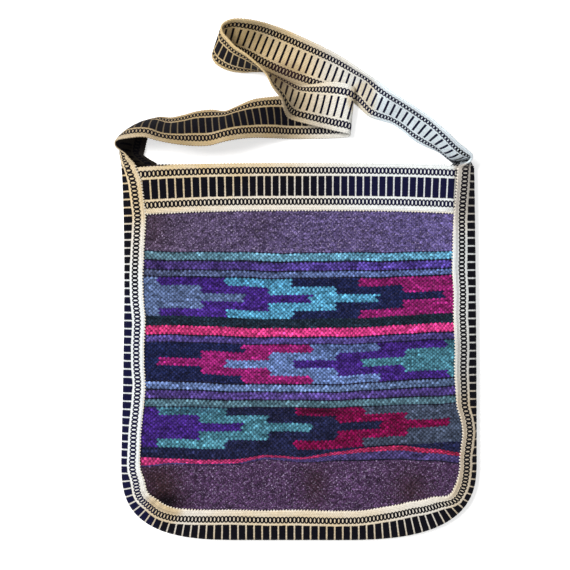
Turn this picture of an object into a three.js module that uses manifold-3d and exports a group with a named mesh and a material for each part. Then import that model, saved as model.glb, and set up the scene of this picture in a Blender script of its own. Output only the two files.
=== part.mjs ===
// A hand-woven shoulder bag lying flat on its back, millimetres, +Z up, mouth towards +Y.
// Two wool panels are joined by one long woven band. The band is folded around the sides and the
// bottom as a gusset and goes on above the mouth as the shoulder strap. Two shorter lengths of the
// same band are sewn flat along the mouth. The origin is on the floor under the back panel.
import * as THREE from "three";
import { mergeVertices } from "three/addons/utils/BufferGeometryUtils.js";
import Module from "manifold-3d";

const wasm = await Module();
wasm.setup();

// Bag outline
const BAG_WIDTH = 356;
const BAG_HEIGHT = 377;
const LEFT_CORNER = { reach: 125, rise: 80, power: 3 };
const RIGHT_CORNER = { reach: 140, rise: 80, power: 2.8 };
const LEFT_SIDE_BOW = 3;
const RIGHT_SIDE_TAPER = 4;

// Cloth
const BAND_WIDTH = 46.5;
const BAND_THICKNESS = 1.6;
const WOOL_THICKNESS = 2.4;
const SEAM_CLEARANCE = 0.3;
const INSIDE_GAP = 5;

// Gusset
const FOLD_HEIGHT = 6;
const BOTTOM_FRONT_SHIFT = 8;
const GUSSET_BELOW_MOUTH = 4;
const SEAM_ALLOWANCE = 7;

// Back panel's flat rest
const REST_MARGIN = 2;
const REST_RAMP = 8;

// Ladder pattern of the band: navy bars between two chain rows
const BAR_PITCH = 7.6;
const BAR_WIDTH = 5.2;
const BAR_LENGTH = 20;
const SELVEDGE_WIDTH = 5;
const BAND_RELIEF = 0.4;

// Tapestry stripes of the front panel, measured down from the mouth
const STRIPE_RELIEF = 0.4;
const STRIPE_ROOT = 0.8;
const STRIPE_END_MARGIN = 1;
const RAISED_STRIPES = [
  { below: 89.5, height: 7.5 },
  { below: 107.5, height: 6.5 },
  { below: 163.5, height: 9 },
  { below: 220, height: 7 },
  { below: 236, height: 7 },
  { below: 290, height: 5 },
];

// Stepped motifs: five weft rows, each colour edge stepping sideways and back
const MOTIF_ROW_HEIGHT = 7.9;
const MOTIF_PITCH = 68;
const MOTIF_STEP = 42.5;
const MOTIF_FIRST_EDGE = 36;
const MOTIF_BANDS = [
  { below: 114.8, rowSteps: [0, 1, 2, 1, 0] },
  { below: 180.2, rowSteps: [2, 1, 0, 1, 2] },
  { below: 244, rowSteps: [0, 1, 2, 1, 0] },
];
const MOTIF_RAISED_FIELDS = [0, 2];

// The strap's lie on the floor: its back edge x, y, z, its front edge x, y, z and its bow towards the
// patterned face. x is from the bag's middle, y is above the mouth, z is above the floor. The lie is
// drawn for one bag width and one band, and follows them when they change.
const STRAP_LAY_BAG_WIDTH = 356;
const STRAP_LAY_BAND_WIDTH = 46.5;
const STRAP_LAY_BAND_THICKNESS = 1.6;
const STRAP_STATIONS = [
  [-156.4, 2.5, 1.4, -171.3, 1.2, 17, 9],
  [-155.6, 8, 1.6, -176.3, 8.3, 19.5, 10],
  [-155.5, 16, 1.6, -180.5, 15, 22, 10.5],
  [-153.5, 26, 1.6, -182, 19.3, 26, 9.5],
  [-150, 36, 2, -178.5, 22, 30, 8],
  [-147, 43, 2.5, -168, 23.2, 36, 6],
  [-140, 46.8, 2.5, -153, 24, 40, 3.5],
  [-128, 46.6, 1.5, -139, 20.5, 38, 1],
  [-115, 49.5, 1, -123, 17.8, 33.5, 1.5],
  [-102, 53, 0.9, -105, 16.4, 27, 4],
  [-88, 54.6, 0.9, -89, 16.8, 26.5, 3.5],
  [-74, 53.2, 0.9, -74, 20.3, 30.5, 5],
  [-63, 57.6, 0.9, -62, 22.8, 28, 5],
  [-47, 64.6, 0.9, -47, 24.8, 22, 3],
  [-29, 67.3, 0.9, -28, 25.6, 12, 5],
  [-12, 68.8, 1.2, -12, 25.8, 4, 4],
  [3, 70, 2.2, 3, 25.8, 1.4, 2],
  [25, 71, 4.6, 26, 26.2, 1.3, 0.5],
  [42, 72, 6.6, 41, 26.8, 1.4, 0],
  [52, 74, 8.8, 49, 27.6, 3, 0],
  [55, 75, 11.8, 51, 28.4, 6, 0],
  [50, 78, 14.8, 49, 30, 9, 0],
  [42, 80, 14.8, 40, 32, 10, 0],
  [32, 81, 12.6, 27, 35, 11, 0],
  [24, 80.5, 10.6, 8, 39, 18, 0],
  [16, 79.5, 8.6, -10, 44, 25, 0],
  [3, 79, 6, -15, 51, 38, 0],
  [-10, 84, 4.6, -18, 61, 43, 0],
  [-21, 88.5, 4.2, -26, 72, 46, 0],
  [-33, 92.5, 4, -32, 84, 47, 0],
  [-46, 93, 3, -43, 96, 47, 0],
  [-56, 92.5, 1.6, -52, 104, 46, 0],
  [-69, 94, 1, -63, 112, 43, 0],
  [-79, 98, 1, -70, 120, 41, 0],
  [-85, 103, 1, -75, 126, 40, 0],
  [-87, 110, 1, -76, 132, 40, 0],
  [-83, 115, 1.5, -73, 136, 41, 0],
  [-75, 116.5, 1.5, -65, 139, 41, 0],
  [-61, 110.5, 1.2, -51, 139.4, 37, 0],
  [-52, 104.5, 1, -40, 138.4, 31, 2],
  [-42, 97.5, 0.9, -28, 136.3, 24, 4],
  [-28, 90, 0.9, -11.5, 131.2, 18.5, 5],
  [-10.7, 82.8, 0.9, 6.2, 123.4, 18, 5],
  [7, 77, 0.9, 23.8, 115, 18.5, 5],
  [24, 72, 0.9, 41.4, 105.4, 20, 5],
  [39, 67, 0.9, 55.6, 95.2, 25, 5],
  [55, 62, 0.9, 68, 85.2, 33, 4],
  [71, 48, 0.9, 80, 77, 35, 0],
  [83, 44, 0.9, 90, 68.5, 39.8, 0],
  [93, 41, 0.9, 100, 61.5, 41.5, 0],
  [104, 34, 0.9, 110, 55, 42, 0],
  [114, 25.5, 0.9, 120, 48.5, 42, 0],
  [124, 19.5, 0.9, 130, 41.2, 42.5, 0],
  [133, 15.7, 1, 138, 34, 44, 0],
  [141, 14, 1, 145, 27, 45.3, 0],
  [147, 11.5, 1.2, 153, 19.5, 42.5, 4],
  [151.5, 7.5, 1.3, 162, 13.5, 36, 8],
  [153.5, 3.5, 1.4, 171, 9, 29, 10],
  [154.5, 0.5, 1.4, 170, 1.5, 20, 11],
];

// Resolution of the meshes
const EDGE_ARC_DIVISIONS = 600;
const PANEL_EDGE_STEPS = 52;
const PANEL_MOUTH_STEPS = 10;
const SHARPEST_FOLD = 0.6;
const HEIGHT_SEARCH_STEPS = 40;

const HALF_WIDTH = BAG_WIDTH / 2;
const MOUTH_Y = BAG_HEIGHT / 2;
const BOTTOM_Y = -BAG_HEIGHT / 2;
const GUSSET_TOP_Y = MOUTH_Y - GUSSET_BELOW_MOUTH;
const LAYER = BAND_THICKNESS + SEAM_CLEARANCE + WOOL_THICKNESS;
const EDGE_HEIGHT = 2 * LAYER + INSIDE_GAP;
const ARM_REACH = (BAND_WIDTH - FOLD_HEIGHT) / 2 + BAND_THICKNESS / 2;
const BACK_PANEL_Z = BAND_THICKNESS + SEAM_CLEARANCE;
const FRONT_PANEL_Z = EDGE_HEIGHT - LAYER;
const FRONT_FACE_Z = FRONT_PANEL_Z + WOOL_THICKNESS;
const ARM_DROP = (EDGE_HEIGHT - BAND_THICKNESS - FOLD_HEIGHT) / 2;
const FOLD_SHARE = FOLD_HEIGHT / BAND_WIDTH;

const FINISHES = {
  tapestry: { color: 0x5a4a60, roughness: 0.95 },
  heather: { color: 0x54475c, roughness: 0.95 },
  band: { color: 0xd9d2c4, roughness: 0.85 },
};

// The bag's outer edge from the left end of the mouth, around the bottom, to the right end.
class BagEdge extends THREE.Curve {
  constructor(topY) {
    super();
    this.topY = topY;
    this.arcLengthDivisions = EDGE_ARC_DIVISIONS;
  }

  getPoint(t, target = new THREE.Vector3()) {
    const spans = [leftSide, leftCorner, bottom, rightCorner, rightSide];
    const span = Math.min(Math.floor(t * spans.length), spans.length - 1);
    const along = t * spans.length - span;
    const [x, y] = spans[span](along, this.topY);
    return target.set(x, y, 0);
  }
}

function leftSide(along, topY) {
  const endY = BOTTOM_Y + LEFT_CORNER.rise;
  const bow = LEFT_SIDE_BOW * Math.sin(Math.PI * along);
  return [-HALF_WIDTH + bow, THREE.MathUtils.lerp(topY, endY, along)];
}

function cornerInset(corner, angle) {
  const side = corner.reach * (1 - Math.cos(angle) ** (2 / corner.power));
  const up = corner.rise * (1 - Math.sin(angle) ** (2 / corner.power));
  return [side, up];
}

function leftCorner(along) {
  const [side, up] = cornerInset(LEFT_CORNER, (along * Math.PI) / 2);
  return [-HALF_WIDTH + side, BOTTOM_Y + up];
}

function bottom(along) {
  const x = THREE.MathUtils.lerp(-HALF_WIDTH + LEFT_CORNER.reach, HALF_WIDTH - RIGHT_CORNER.reach, along);
  return [x, BOTTOM_Y];
}

function rightCorner(along) {
  const [side, up] = cornerInset(RIGHT_CORNER, ((1 - along) * Math.PI) / 2);
  return [HALF_WIDTH - side, BOTTOM_Y + up];
}

function rightSide(along, topY) {
  const startY = BOTTOM_Y + RIGHT_CORNER.rise;
  return [HALF_WIDTH - RIGHT_SIDE_TAPER * along ** 2, THREE.MathUtils.lerp(startY, topY, along)];
}

// Outward direction in the floor plane at a share of the edge's length.
function outwardAt(edge, share) {
  const tangent = edge.getTangentAt(share);
  return new THREE.Vector3(tangent.y, -tangent.x, 0).normalize();
}

// How far the band is pulled over to the front: nothing at the sides, the full shift at the bottom.
function frontShift(outward) {
  return BOTTOM_FRONT_SHIFT * Math.max(0, -outward.y) ** 2;
}

// The folded band's section: inset from the outer edge and height, from its back to its front edge.
function foldedSection(shift) {
  const half = BAND_THICKNESS / 2;
  return [
    [ARM_REACH - shift, half],
    [half, half + ARM_DROP],
    [half, EDGE_HEIGHT - half - ARM_DROP],
    [ARM_REACH + shift, EDGE_HEIGHT - half],
  ];
}

function foldedStation(edge, share) {
  const at = edge.getPointAt(share);
  const outward = outwardAt(edge, share);
  return foldedSection(frontShift(outward)).map(([inset, z]) =>
    at.clone().addScaledVector(outward, -inset).setZ(z),
  );
}

// Closed mesh from a flat list of points and triangles.
function meshGeometry(points, triangles) {
  const positions = points.flatMap((p) => [p.x, p.y, p.z]);
  const geometry = new THREE.BufferGeometry();
  geometry.setAttribute("position", new THREE.Float32BufferAttribute(positions, 3));
  geometry.setIndex(triangles.flat());
  geometry.computeVertexNormals();
  return geometry;
}

// Direction of the band's run at one grid point. The cut ends are square to their own folded section.
function bandRun(grid, row, column) {
  const last = grid.length - 1;
  const run = grid[Math.min(row + 1, last)][column].clone().sub(grid[Math.max(row - 1, 0)][column]);
  if (row > 0 && row < last) return run;
  const [back, fold, , front] = grid[row];
  const square = fold.clone().sub(back).cross(front.clone().sub(back)).normalize();
  return square.multiplyScalar(Math.sign(square.dot(run)));
}

// Normal of a band's middle surface at one grid point, stretched at a fold to keep the thickness.
function bandNormal(grid, row, column) {
  const along = bandRun(grid, row, column);
  const line = grid[row];
  const sides = [];
  if (column > 0) sides.push(line[column].clone().sub(line[column - 1]).normalize());
  if (column < line.length - 1) sides.push(line[column + 1].clone().sub(line[column]).normalize());
  const across = sides.reduce((sum, side) => sum.add(side), new THREE.Vector3());
  const normal = across.cross(along).normalize();
  const flat = sides[0].clone().cross(along).normalize();
  return normal.divideScalar(Math.max(normal.dot(flat), SHARPEST_FOLD));
}

// A woven band as a closed solid: rows of middle-surface points, the patterned face where
// across x along points. Every second row is a raised bar.
function bandGeometry(grid) {
  const rows = grid.length;
  const columns = grid[0].length;
  const half = BAND_THICKNESS / 2;
  const face = [];
  const reverse = [];
  grid.forEach((line, row) =>
    line.forEach((point, column) => {
      const inner = column > 0 && column < columns - 1;
      const lift = inner && row % 2 === 1 ? BAND_RELIEF : 0;
      const normal = bandNormal(grid, row, column);
      face.push(point.clone().addScaledVector(normal, half + lift));
      reverse.push(point.clone().addScaledVector(normal, -half));
    }),
  );
  const back = rows * columns;
  const triangles = [];
  const quad = (a, b, c, d) => triangles.push([a, b, c], [a, c, d]);
  for (let row = 0; row < rows - 1; row += 1) {
    const here = row * columns;
    const next = here + columns;
    for (let column = 0; column < columns - 1; column += 1) {
      quad(here + column, here + column + 1, next + column + 1, next + column);
      quad(back + here + column, back + next + column, back + next + column + 1, back + here + column + 1);
    }
    quad(here, next, back + next, back + here);
    const last = columns - 1;
    quad(here + last, back + here + last, back + next + last, next + last);
  }
  for (let column = 0; column < columns - 1; column += 1) {
    const end = (rows - 1) * columns;
    quad(column, back + column, back + column + 1, column + 1);
    quad(end + column, end + column + 1, back + end + column + 1, back + end + column);
  }
  return meshGeometry([...face, ...reverse], triangles);
}

// Two rows for each bar of the ladder pattern, and one to finish.
function rowCount(length) {
  return 2 * Math.round(length / BAR_PITCH) + 1;
}

function gussetGeometry() {
  const edge = new BagEdge(GUSSET_TOP_Y);
  const rows = rowCount(edge.getLength());
  const grid = Array.from({ length: rows }, (_, row) => foldedStation(edge, 1 - row / (rows - 1)));
  return bandGeometry(grid);
}

// One crosswise line of the laid strap, bowed out by its own slack.
function strapLine(station, before, after) {
  const spread = BAG_WIDTH / STRAP_LAY_BAG_WIDTH;
  const rise = (BAND_THICKNESS - STRAP_LAY_BAND_THICKNESS) / 2;
  const place = ([x, y, z]) => new THREE.Vector3(x * spread, MOUTH_Y + y, z + rise);
  const back = place(station.slice(0, 3));
  const front = back.clone().lerp(place(station.slice(3, 6)), BAND_WIDTH / STRAP_LAY_BAND_WIDTH);
  const along = place(after.slice(0, 3)).add(place(after.slice(3, 6)));
  along.sub(place(before.slice(0, 3))).sub(place(before.slice(3, 6)));
  const across = front.clone().sub(back);
  const face = across.clone().cross(along).normalize();
  return [-1, -FOLD_SHARE, FOLD_SHARE, 1].map((v) =>
    back
      .clone()
      .addScaledVector(across, (v + 1) / 2)
      .addScaledVector(face, station[6] * (1 - v * v)),
  );
}

// The strap leaves the folded gusset at one end of the mouth and comes back to it at the other.
function strapGrid() {
  const edge = new BagEdge(GUSSET_TOP_Y);
  const clear = new THREE.Vector3(0, SEAM_CLEARANCE, 0);
  const start = foldedStation(edge, 0).map((p) => p.add(clear));
  const finish = foldedStation(edge, 1).map((p) => p.add(clear));
  const count = STRAP_STATIONS.length;
  const middle = STRAP_STATIONS.map((station, i) =>
    strapLine(station, STRAP_STATIONS[Math.max(i - 1, 0)], STRAP_STATIONS[Math.min(i + 1, count - 1)]),
  );
  const lines = [start, ...middle, finish];
  const curveThrough = (points) => new THREE.CatmullRomCurve3(points);
  const columns = start.map((_, column) => curveThrough(lines.map((line) => line[column])));
  const centre = curveThrough(lines.map((line) => line[1].clone().lerp(line[2], 0.5)));
  const rows = rowCount(centre.getLength());
  return Array.from({ length: rows }, (_, row) => {
    const t = centre.getUtoTmapping(row / (rows - 1));
    return columns.map((curve) => curve.getPoint(t));
  });
}

// Share of the outer edge at which it passes a height on the left (0 to 0.5) or right (0.5 to 1).
function shareAtHeight(edge, y, left) {
  let low = left ? 0 : 0.5;
  let high = left ? 0.5 : 1;
  for (let step = 0; step < HEIGHT_SEARCH_STEPS; step += 1) {
    const middle = (low + high) / 2;
    const above = edge.getPointAt(middle).y > y;
    if (above === left) low = middle;
    else high = middle;
  }
  return (low + high) / 2;
}

// A closed loop inside the outer edge: inset along the sides and bottom, straight across its top.
function panelLoop(edge, ring) {
  const topY = MOUTH_Y - ring.belowMouth;
  const first = shareAtHeight(edge, topY, true);
  const last = shareAtHeight(edge, topY, false);
  const loop = [];
  for (let step = 0; step <= PANEL_EDGE_STEPS; step += 1) {
    const share = THREE.MathUtils.lerp(first, last, step / PANEL_EDGE_STEPS);
    const outward = outwardAt(edge, share);
    const shift = frontShift(outward);
    const point = edge.getPointAt(share).addScaledVector(outward, -ring.inset(shift));
    loop.push(point.setY(Math.min(point.y, topY)).setZ(ring.z(shift)));
  }
  const [start, end] = [loop[loop.length - 1], loop[0]];
  for (let step = 1; step < PANEL_MOUTH_STEPS; step += 1) {
    loop.push(start.clone().lerp(end, step / PANEL_MOUTH_STEPS));
  }
  return loop;
}

// A wool panel: rings from its hidden rim inwards, filled in the middle, one cloth thickness deep.
function panelGeometry(rings) {
  const edge = new BagEdge(MOUTH_Y);
  const loops = rings.map((ring) => panelLoop(edge, ring));
  const size = loops[0].length;
  const lower = loops.flat();
  const upper = lower.map((p) => p.clone().setZ(p.z + WOOL_THICKNESS));
  const top = lower.length;
  const triangles = [];
  const both = (a, b, c) => triangles.push([top + a, top + b, top + c], [a, c, b]);
  for (let ring = 0; ring < loops.length - 1; ring += 1) {
    for (let i = 0; i < size; i += 1) {
      const j = (i + 1) % size;
      const [a, b] = [ring * size + i, ring * size + j];
      both(a, b, b + size);
      both(a, b + size, a + size);
    }
  }
  const inner = (loops.length - 1) * size;
  const outline = loops[loops.length - 1].map((p) => new THREE.Vector2(p.x, p.y));
  THREE.ShapeUtils.triangulateShape(outline, []).forEach(([a, b, c]) => both(inner + a, inner + b, inner + c));
  for (let i = 0; i < size; i += 1) {
    const j = (i + 1) % size;
    triangles.push([i, j, top + j], [i, top + j, top + i]);
  }
  return meshGeometry([...lower, ...upper], triangles);
}

// How far a gusset arm of this reach closes in over a panel's hidden rim.
function rimDrop(reach) {
  const slope = ARM_DROP / (reach - BAND_THICKNESS / 2);
  return slope * SEAM_ALLOWANCE + SEAM_CLEARANCE;
}

function solid(geometry) {
  const bare = geometry.clone();
  bare.deleteAttribute("normal");
  bare.deleteAttribute("uv");
  const merged = mergeVertices(bare);
  return new wasm.Manifold(
    new wasm.Mesh({
      numProp: 3,
      vertProperties: new Float32Array(merged.attributes.position.array),
      triVerts: new Uint32Array(merged.index.array),
    }),
  );
}

function joined(geometries) {
  const whole = geometries.map(solid).reduce((sum, next) => sum.add(next));
  const mesh = whole.getMesh();
  const geometry = new THREE.BufferGeometry();
  geometry.setAttribute("position", new THREE.BufferAttribute(mesh.vertProperties, 3));
  geometry.setIndex(new THREE.BufferAttribute(mesh.triVerts, 1));
  geometry.computeVertexNormals();
  return geometry;
}

function prism(outline, bottomZ, height) {
  const shape = new THREE.Shape(outline.map(([x, y]) => new THREE.Vector2(x, y)));
  const geometry = new THREE.ExtrudeGeometry(shape, { depth: height, bevelEnabled: false });
  return geometry.translate(0, 0, bottomZ);
}

// Inner edges of the gusset's arms at a height: where a flat piece between them may start and end.
function spanAt(edge, y, clearance) {
  const reach = ARM_REACH + clearance;
  const left = edge.getPointAt(shareAtHeight(edge, y, true)).x + reach;
  const right = edge.getPointAt(shareAtHeight(edge, y, false)).x - reach;
  return [left, right];
}

function acrossShape(edge, topY, height, clearance) {
  const [topLeft, topRight] = spanAt(edge, topY, clearance);
  const [lowLeft, lowRight] = spanAt(edge, topY - height, clearance);
  return [
    [lowLeft, topY - height],
    [lowRight, topY - height],
    [topRight, topY],
    [topLeft, topY],
  ];
}

// The band along the mouth: a flat length with selvedges, and bars on the face that shows.
function mouthBandGeometry(bottomZ, patterned) {
  const edge = new BagEdge(MOUTH_Y);
  const outline = acrossShape(edge, MOUTH_Y, BAND_WIDTH, SEAM_CLEARANCE);
  const pieces = [prism(outline, bottomZ, BAND_THICKNESS)];
  if (!patterned) return joined(pieces);
  const rootZ = bottomZ + BAND_THICKNESS / 2;
  const raised = BAND_THICKNESS / 2 + BAND_RELIEF;
  const lowY = MOUTH_Y - BAND_WIDTH + SELVEDGE_WIDTH;
  pieces.push(prism(acrossShape(edge, MOUTH_Y, SELVEDGE_WIDTH, SEAM_CLEARANCE), rootZ, raised));
  pieces.push(prism(acrossShape(edge, lowY, SELVEDGE_WIDTH, SEAM_CLEARANCE), rootZ, raised));
  const barTop = MOUTH_Y - (BAND_WIDTH - BAR_LENGTH) / 2;
  const [left, right] = spanAt(edge, barTop, BAR_PITCH);
  const bars = Math.floor((right - left) / BAR_PITCH);
  for (let bar = 0; bar < bars; bar += 1) {
    const x = left + (bar + 0.5) * BAR_PITCH;
    const box = new THREE.BoxGeometry(BAR_WIDTH, BAR_LENGTH, raised);
    pieces.push(box.translate(x, barTop - BAR_LENGTH / 2, rootZ + raised / 2));
  }
  return joined(pieces);
}

// One raised field of a stepped motif: five rows between two colour edges.
function motifOutline(edge, motif, field) {
  const topY = MOUTH_Y - motif.below;
  const [left, right] = spanAt(edge, topY, REST_MARGIN + STRIPE_END_MARGIN);
  const firstEdge = -HALF_WIDTH + MOTIF_FIRST_EDGE + field * MOTIF_PITCH;
  const side = (offset) =>
    motif.rowSteps.flatMap((steps, row) => {
      const x = THREE.MathUtils.clamp(firstEdge + offset + steps * MOTIF_STEP, left, right);
      const y = topY - row * MOTIF_ROW_HEIGHT;
      return [
        [x, y],
        [x, y - MOTIF_ROW_HEIGHT],
      ];
    });
  return [...side(0), ...side(MOTIF_PITCH).reverse()];
}

function frontPanelGeometry() {
  const edge = new BagEdge(MOUTH_Y);
  const reach = (shift) => ARM_REACH + shift;
  const rim = {
    belowMouth: 0,
    inset: (shift) => reach(shift) - SEAM_ALLOWANCE,
    z: (shift) => FRONT_PANEL_Z - rimDrop(reach(shift)),
  };
  const flat = {
    belowMouth: REST_MARGIN,
    inset: (shift) => reach(shift) + REST_MARGIN,
    z: () => FRONT_PANEL_Z,
  };
  const pieces = [panelGeometry([rim, flat])];
  const rootZ = FRONT_FACE_Z - STRIPE_ROOT;
  const height = STRIPE_ROOT + STRIPE_RELIEF;
  RAISED_STRIPES.forEach((stripe) => {
    const margin = REST_MARGIN + STRIPE_END_MARGIN;
    pieces.push(prism(acrossShape(edge, MOUTH_Y - stripe.below, stripe.height, margin), rootZ, height));
  });
  MOTIF_BANDS.forEach((motif) =>
    MOTIF_RAISED_FIELDS.forEach((field) => {
      pieces.push(prism(motifOutline(edge, motif, field), rootZ, height));
    }),
  );
  return joined(pieces);
}

// The back panel passes over the gusset's arm and the mouth band, then lies on the floor.
function backPanelGeometry() {
  const reach = (shift) => ARM_REACH - shift;
  const rim = {
    belowMouth: 0,
    inset: (shift) => reach(shift) - SEAM_ALLOWANCE,
    z: (shift) => BACK_PANEL_Z + rimDrop(reach(shift)),
  };
  const flatRing = (belowMouth, margin, z) => ({
    belowMouth,
    inset: (shift) => reach(shift) + margin,
    z: () => z,
  });
  const bandClear = BAND_WIDTH + REST_MARGIN;
  const seam = flatRing(REST_MARGIN, REST_MARGIN, BACK_PANEL_Z);
  const ledge = flatRing(bandClear, REST_MARGIN + SEAM_CLEARANCE, BACK_PANEL_Z);
  const rest = flatRing(bandClear + REST_RAMP, REST_MARGIN + REST_RAMP, 0);
  return panelGeometry([rim, seam, ledge, rest]);
}

function clothMesh(name, geometry, finish) {
  const mesh = new THREE.Mesh(geometry, new THREE.MeshStandardMaterial({ ...finish, metalness: 0 }));
  mesh.name = name;
  return mesh;
}

const bag = new THREE.Group();
bag.add(
  clothMesh("back_panel", backPanelGeometry(), FINISHES.heather),
  clothMesh("front_panel", frontPanelGeometry(), FINISHES.tapestry),
  clothMesh("back_mouth_band", mouthBandGeometry(0, false), FINISHES.band),
  clothMesh("front_mouth_band", mouthBandGeometry(FRONT_FACE_Z + SEAM_CLEARANCE, true), FINISHES.band),
  clothMesh("gusset_band", gussetGeometry(), FINISHES.band),
  clothMesh("shoulder_strap", bandGeometry(strapGrid()), FINISHES.band),
);

export default bag;
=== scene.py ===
"""Visual model of a hand-woven wool shoulder bag, laid flat on its back.

Sizes are millimetres until a mesh is made, which is in metres. +X runs to the right across the bag, +Y up
towards the mouth and the strap, and +Z out of the patterned front.
"""

import logging
import math
from dataclasses import dataclass, field
from enum import Enum
from typing import Any, Optional, Union

import bpy
import numpy as np
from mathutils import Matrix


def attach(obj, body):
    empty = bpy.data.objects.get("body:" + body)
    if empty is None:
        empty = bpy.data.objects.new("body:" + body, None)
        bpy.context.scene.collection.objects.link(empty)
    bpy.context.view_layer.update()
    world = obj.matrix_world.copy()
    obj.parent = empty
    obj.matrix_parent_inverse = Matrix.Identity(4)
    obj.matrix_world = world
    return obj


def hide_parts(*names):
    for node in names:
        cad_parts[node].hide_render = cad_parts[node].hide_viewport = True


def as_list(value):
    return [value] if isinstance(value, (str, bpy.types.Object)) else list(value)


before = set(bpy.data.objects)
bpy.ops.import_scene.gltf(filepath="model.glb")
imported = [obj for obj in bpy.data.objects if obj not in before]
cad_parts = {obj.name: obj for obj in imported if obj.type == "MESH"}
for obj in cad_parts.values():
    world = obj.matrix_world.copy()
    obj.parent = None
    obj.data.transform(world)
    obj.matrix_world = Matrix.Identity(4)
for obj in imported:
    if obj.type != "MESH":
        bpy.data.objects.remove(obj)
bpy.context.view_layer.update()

LOG = logging.getLogger("bag")
MM = 0.001
WHITE = (1.0, 1.0, 1.0, 1.0)

# The woven band: its cut, its pattern and how far it is folded over a panel.
BAND_WIDTH = 46.5
BAND_THICKNESS = 1.6
BAR_PITCH = 7.6
BAR_REACH = 9.95
CHAIN_AT = 15.6
ARM_REACH = 21.05

Array = np.ndarray
Colour = tuple[float, float, float]
Pair = tuple[float, float]
Spot = tuple[float, float, float, float, float]
SewnEdge = tuple[Array, Array, Array]
Settings = Optional[dict[str, Any]]
Sockets = Optional[dict[Union[int, str], Any]]


def linear(srgb: tuple[int, int, int]) -> Colour:
    """Turn a display colour, from 0 to 255, into linear light."""
    shares = [c / 255 for c in srgb]
    return tuple(s / 12.92 if s <= 0.04045 else ((s + 0.055) / 1.055) ** 2.4 for s in shares)


def smooth(low: float, high: float, at: Array) -> Array:
    """Ease from 0 at low to 1 at high, which may lie below low."""
    t = np.clip((np.asarray(at, float) - low) / (high - low), 0, 1)
    return t * t * (3 - 2 * t)


def unit(vectors: Array) -> Array:
    """Scale vectors on the last axis to length one."""
    return vectors / np.maximum(np.linalg.norm(vectors, axis=-1, keepdims=True), 1e-9)


def even_out(values: Array, reach: int) -> Array:
    """Average each value with its neighbours, up to so many on either side."""
    count = 2 * reach + 1
    return np.convolve(np.pad(values, reach, mode="edge"), np.ones(count) / count, "valid")


def lengths(points: Array, power: float = 1.0) -> Array:
    """Add up the steps along a line, each raised to a power, up to each of its points."""
    steps = np.linalg.norm(np.diff(points, axis=0), axis=1) ** power
    return np.concatenate([[0], np.cumsum(steps)])


def read_line(at: Array, length: Array, line: Array) -> Array:
    """Read a line at given lengths, from the length up to each of its points."""
    return np.stack([np.interp(at, length, column) for column in line.T], 1)


def spread(spot: Spot, x: Array, y: Array) -> Array:
    """Strength at every place of a soft oval spot: its middle, its reach both ways and its depth."""
    mid_x, mid_y, wide, tall, strength = spot
    return np.exp(-(((x - mid_x) / wide) ** 2) - ((y - mid_y) / tall) ** 2) * strength


@dataclass(frozen=True)
class Wave:
    """A low wave in the cloth: its height, how fast it turns both ways and where it starts."""

    high: float
    across: float
    along: float = math.inf
    start: float = 0.0

    def over(self, x: Array, y: Union[Array, float] = 0.0) -> Array:
        """Its height at every place."""
        return self.high * np.sin(x / self.across + y / self.along + self.start)


def put(name: str, data: bpy.types.ID) -> bpy.types.Object:
    """Put a new object into the scene, at the origin.

    Args:
        name: The object's name.
        data: Its mesh, camera or lamp.

    Returns:
        The object.
    """
    made = bpy.data.objects.new(name, data)
    bpy.context.scene.collection.objects.link(made)
    return made


def add_node(
    tree: bpy.types.NodeTree, kind: str, settings: Settings = None, sockets: Sockets = None
) -> bpy.types.Node:
    """Add a node to a tree.

    Args:
        tree: The tree.
        kind: The node's type.
        settings: Its own properties, set first.
        sockets: Values or links of its inputs, by index or name.

    Returns:
        The node.
    """
    made = tree.nodes.new(kind)
    for key, setting in (settings or {}).items():
        setattr(made, key, setting)
    for key, given in (sockets or {}).items():
        if isinstance(given, bpy.types.NodeSocket):
            tree.links.new(given, made.inputs[key])
        else:
            made.inputs[key].default_value = given
    return made


class Dye(Enum):
    """The yarns' colours, as they look in plain light, and the colours of painted light and shade."""

    MAUVE = (78, 63, 84)
    BLUE_MAUVE = (96, 86, 142)
    BROWN_MAUVE = (74, 50, 84)
    LIGHT_TEAL = (80, 108, 120)
    SKY_TEAL = (95, 160, 194)
    PURPLE = (64, 49, 102)
    VIOLET = (86, 68, 160)
    DULL_SLATE = (73, 81, 110)
    BLUE_SLATE = (84, 104, 157)
    SLATE = (85, 103, 142)
    BOTTLE_GREEN = (22, 36, 50)
    PINK = (183, 50, 104)
    HOT_PINK = (218, 61, 138)
    INDIGO = (77, 66, 130)
    DIM_INDIGO = (70, 60, 110)
    SLATE_BLUE = (98, 120, 170)
    DULL_BLUE = (84, 104, 138)
    PLUM = (78, 62, 128)
    TEAL_GREEN = (79, 111, 125)
    MIDNIGHT = (25, 29, 59)
    RASPBERRY = (182, 54, 112)
    DEEP_RED = (136, 29, 60)
    INK = (22, 22, 40)
    DEEP_PURPLE = (59, 33, 115)
    TEAL = (76, 142, 176)
    NAVY = (23, 30, 67)
    MAGENTA = (136, 29, 100)
    LIGHT_BLUE = (92, 115, 165)
    SEA_GREEN = (68, 120, 138)
    CRIMSON = (112, 6, 62)
    SLATE_GREY = (63, 73, 93)
    IVORY = (229, 223, 212)
    TAN = (217, 189, 136)
    NIGHT = (8, 7, 14)
    NIGHT_BLUE = (17, 17, 52)
    FLECK = (184, 168, 200)
    DARK_FLECK = (42, 28, 38)
    SHADE_BROWN = (64, 42, 46)
    WINE = (52, 16, 62)
    COOL_LIGHT_WHITE = (236, 248, 255)

    @property
    def light(self) -> Colour:
        """The colour in linear light."""
        return linear(self.value)


class Side(Enum):
    """The two sides of the woven band."""

    FACE = 0
    REVERSE = 1


class Held(Enum):
    """How a cloth piece is held."""

    LAID = "laid"
    FOLDED = "folded"
    STRETCHED = "stretched"


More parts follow.
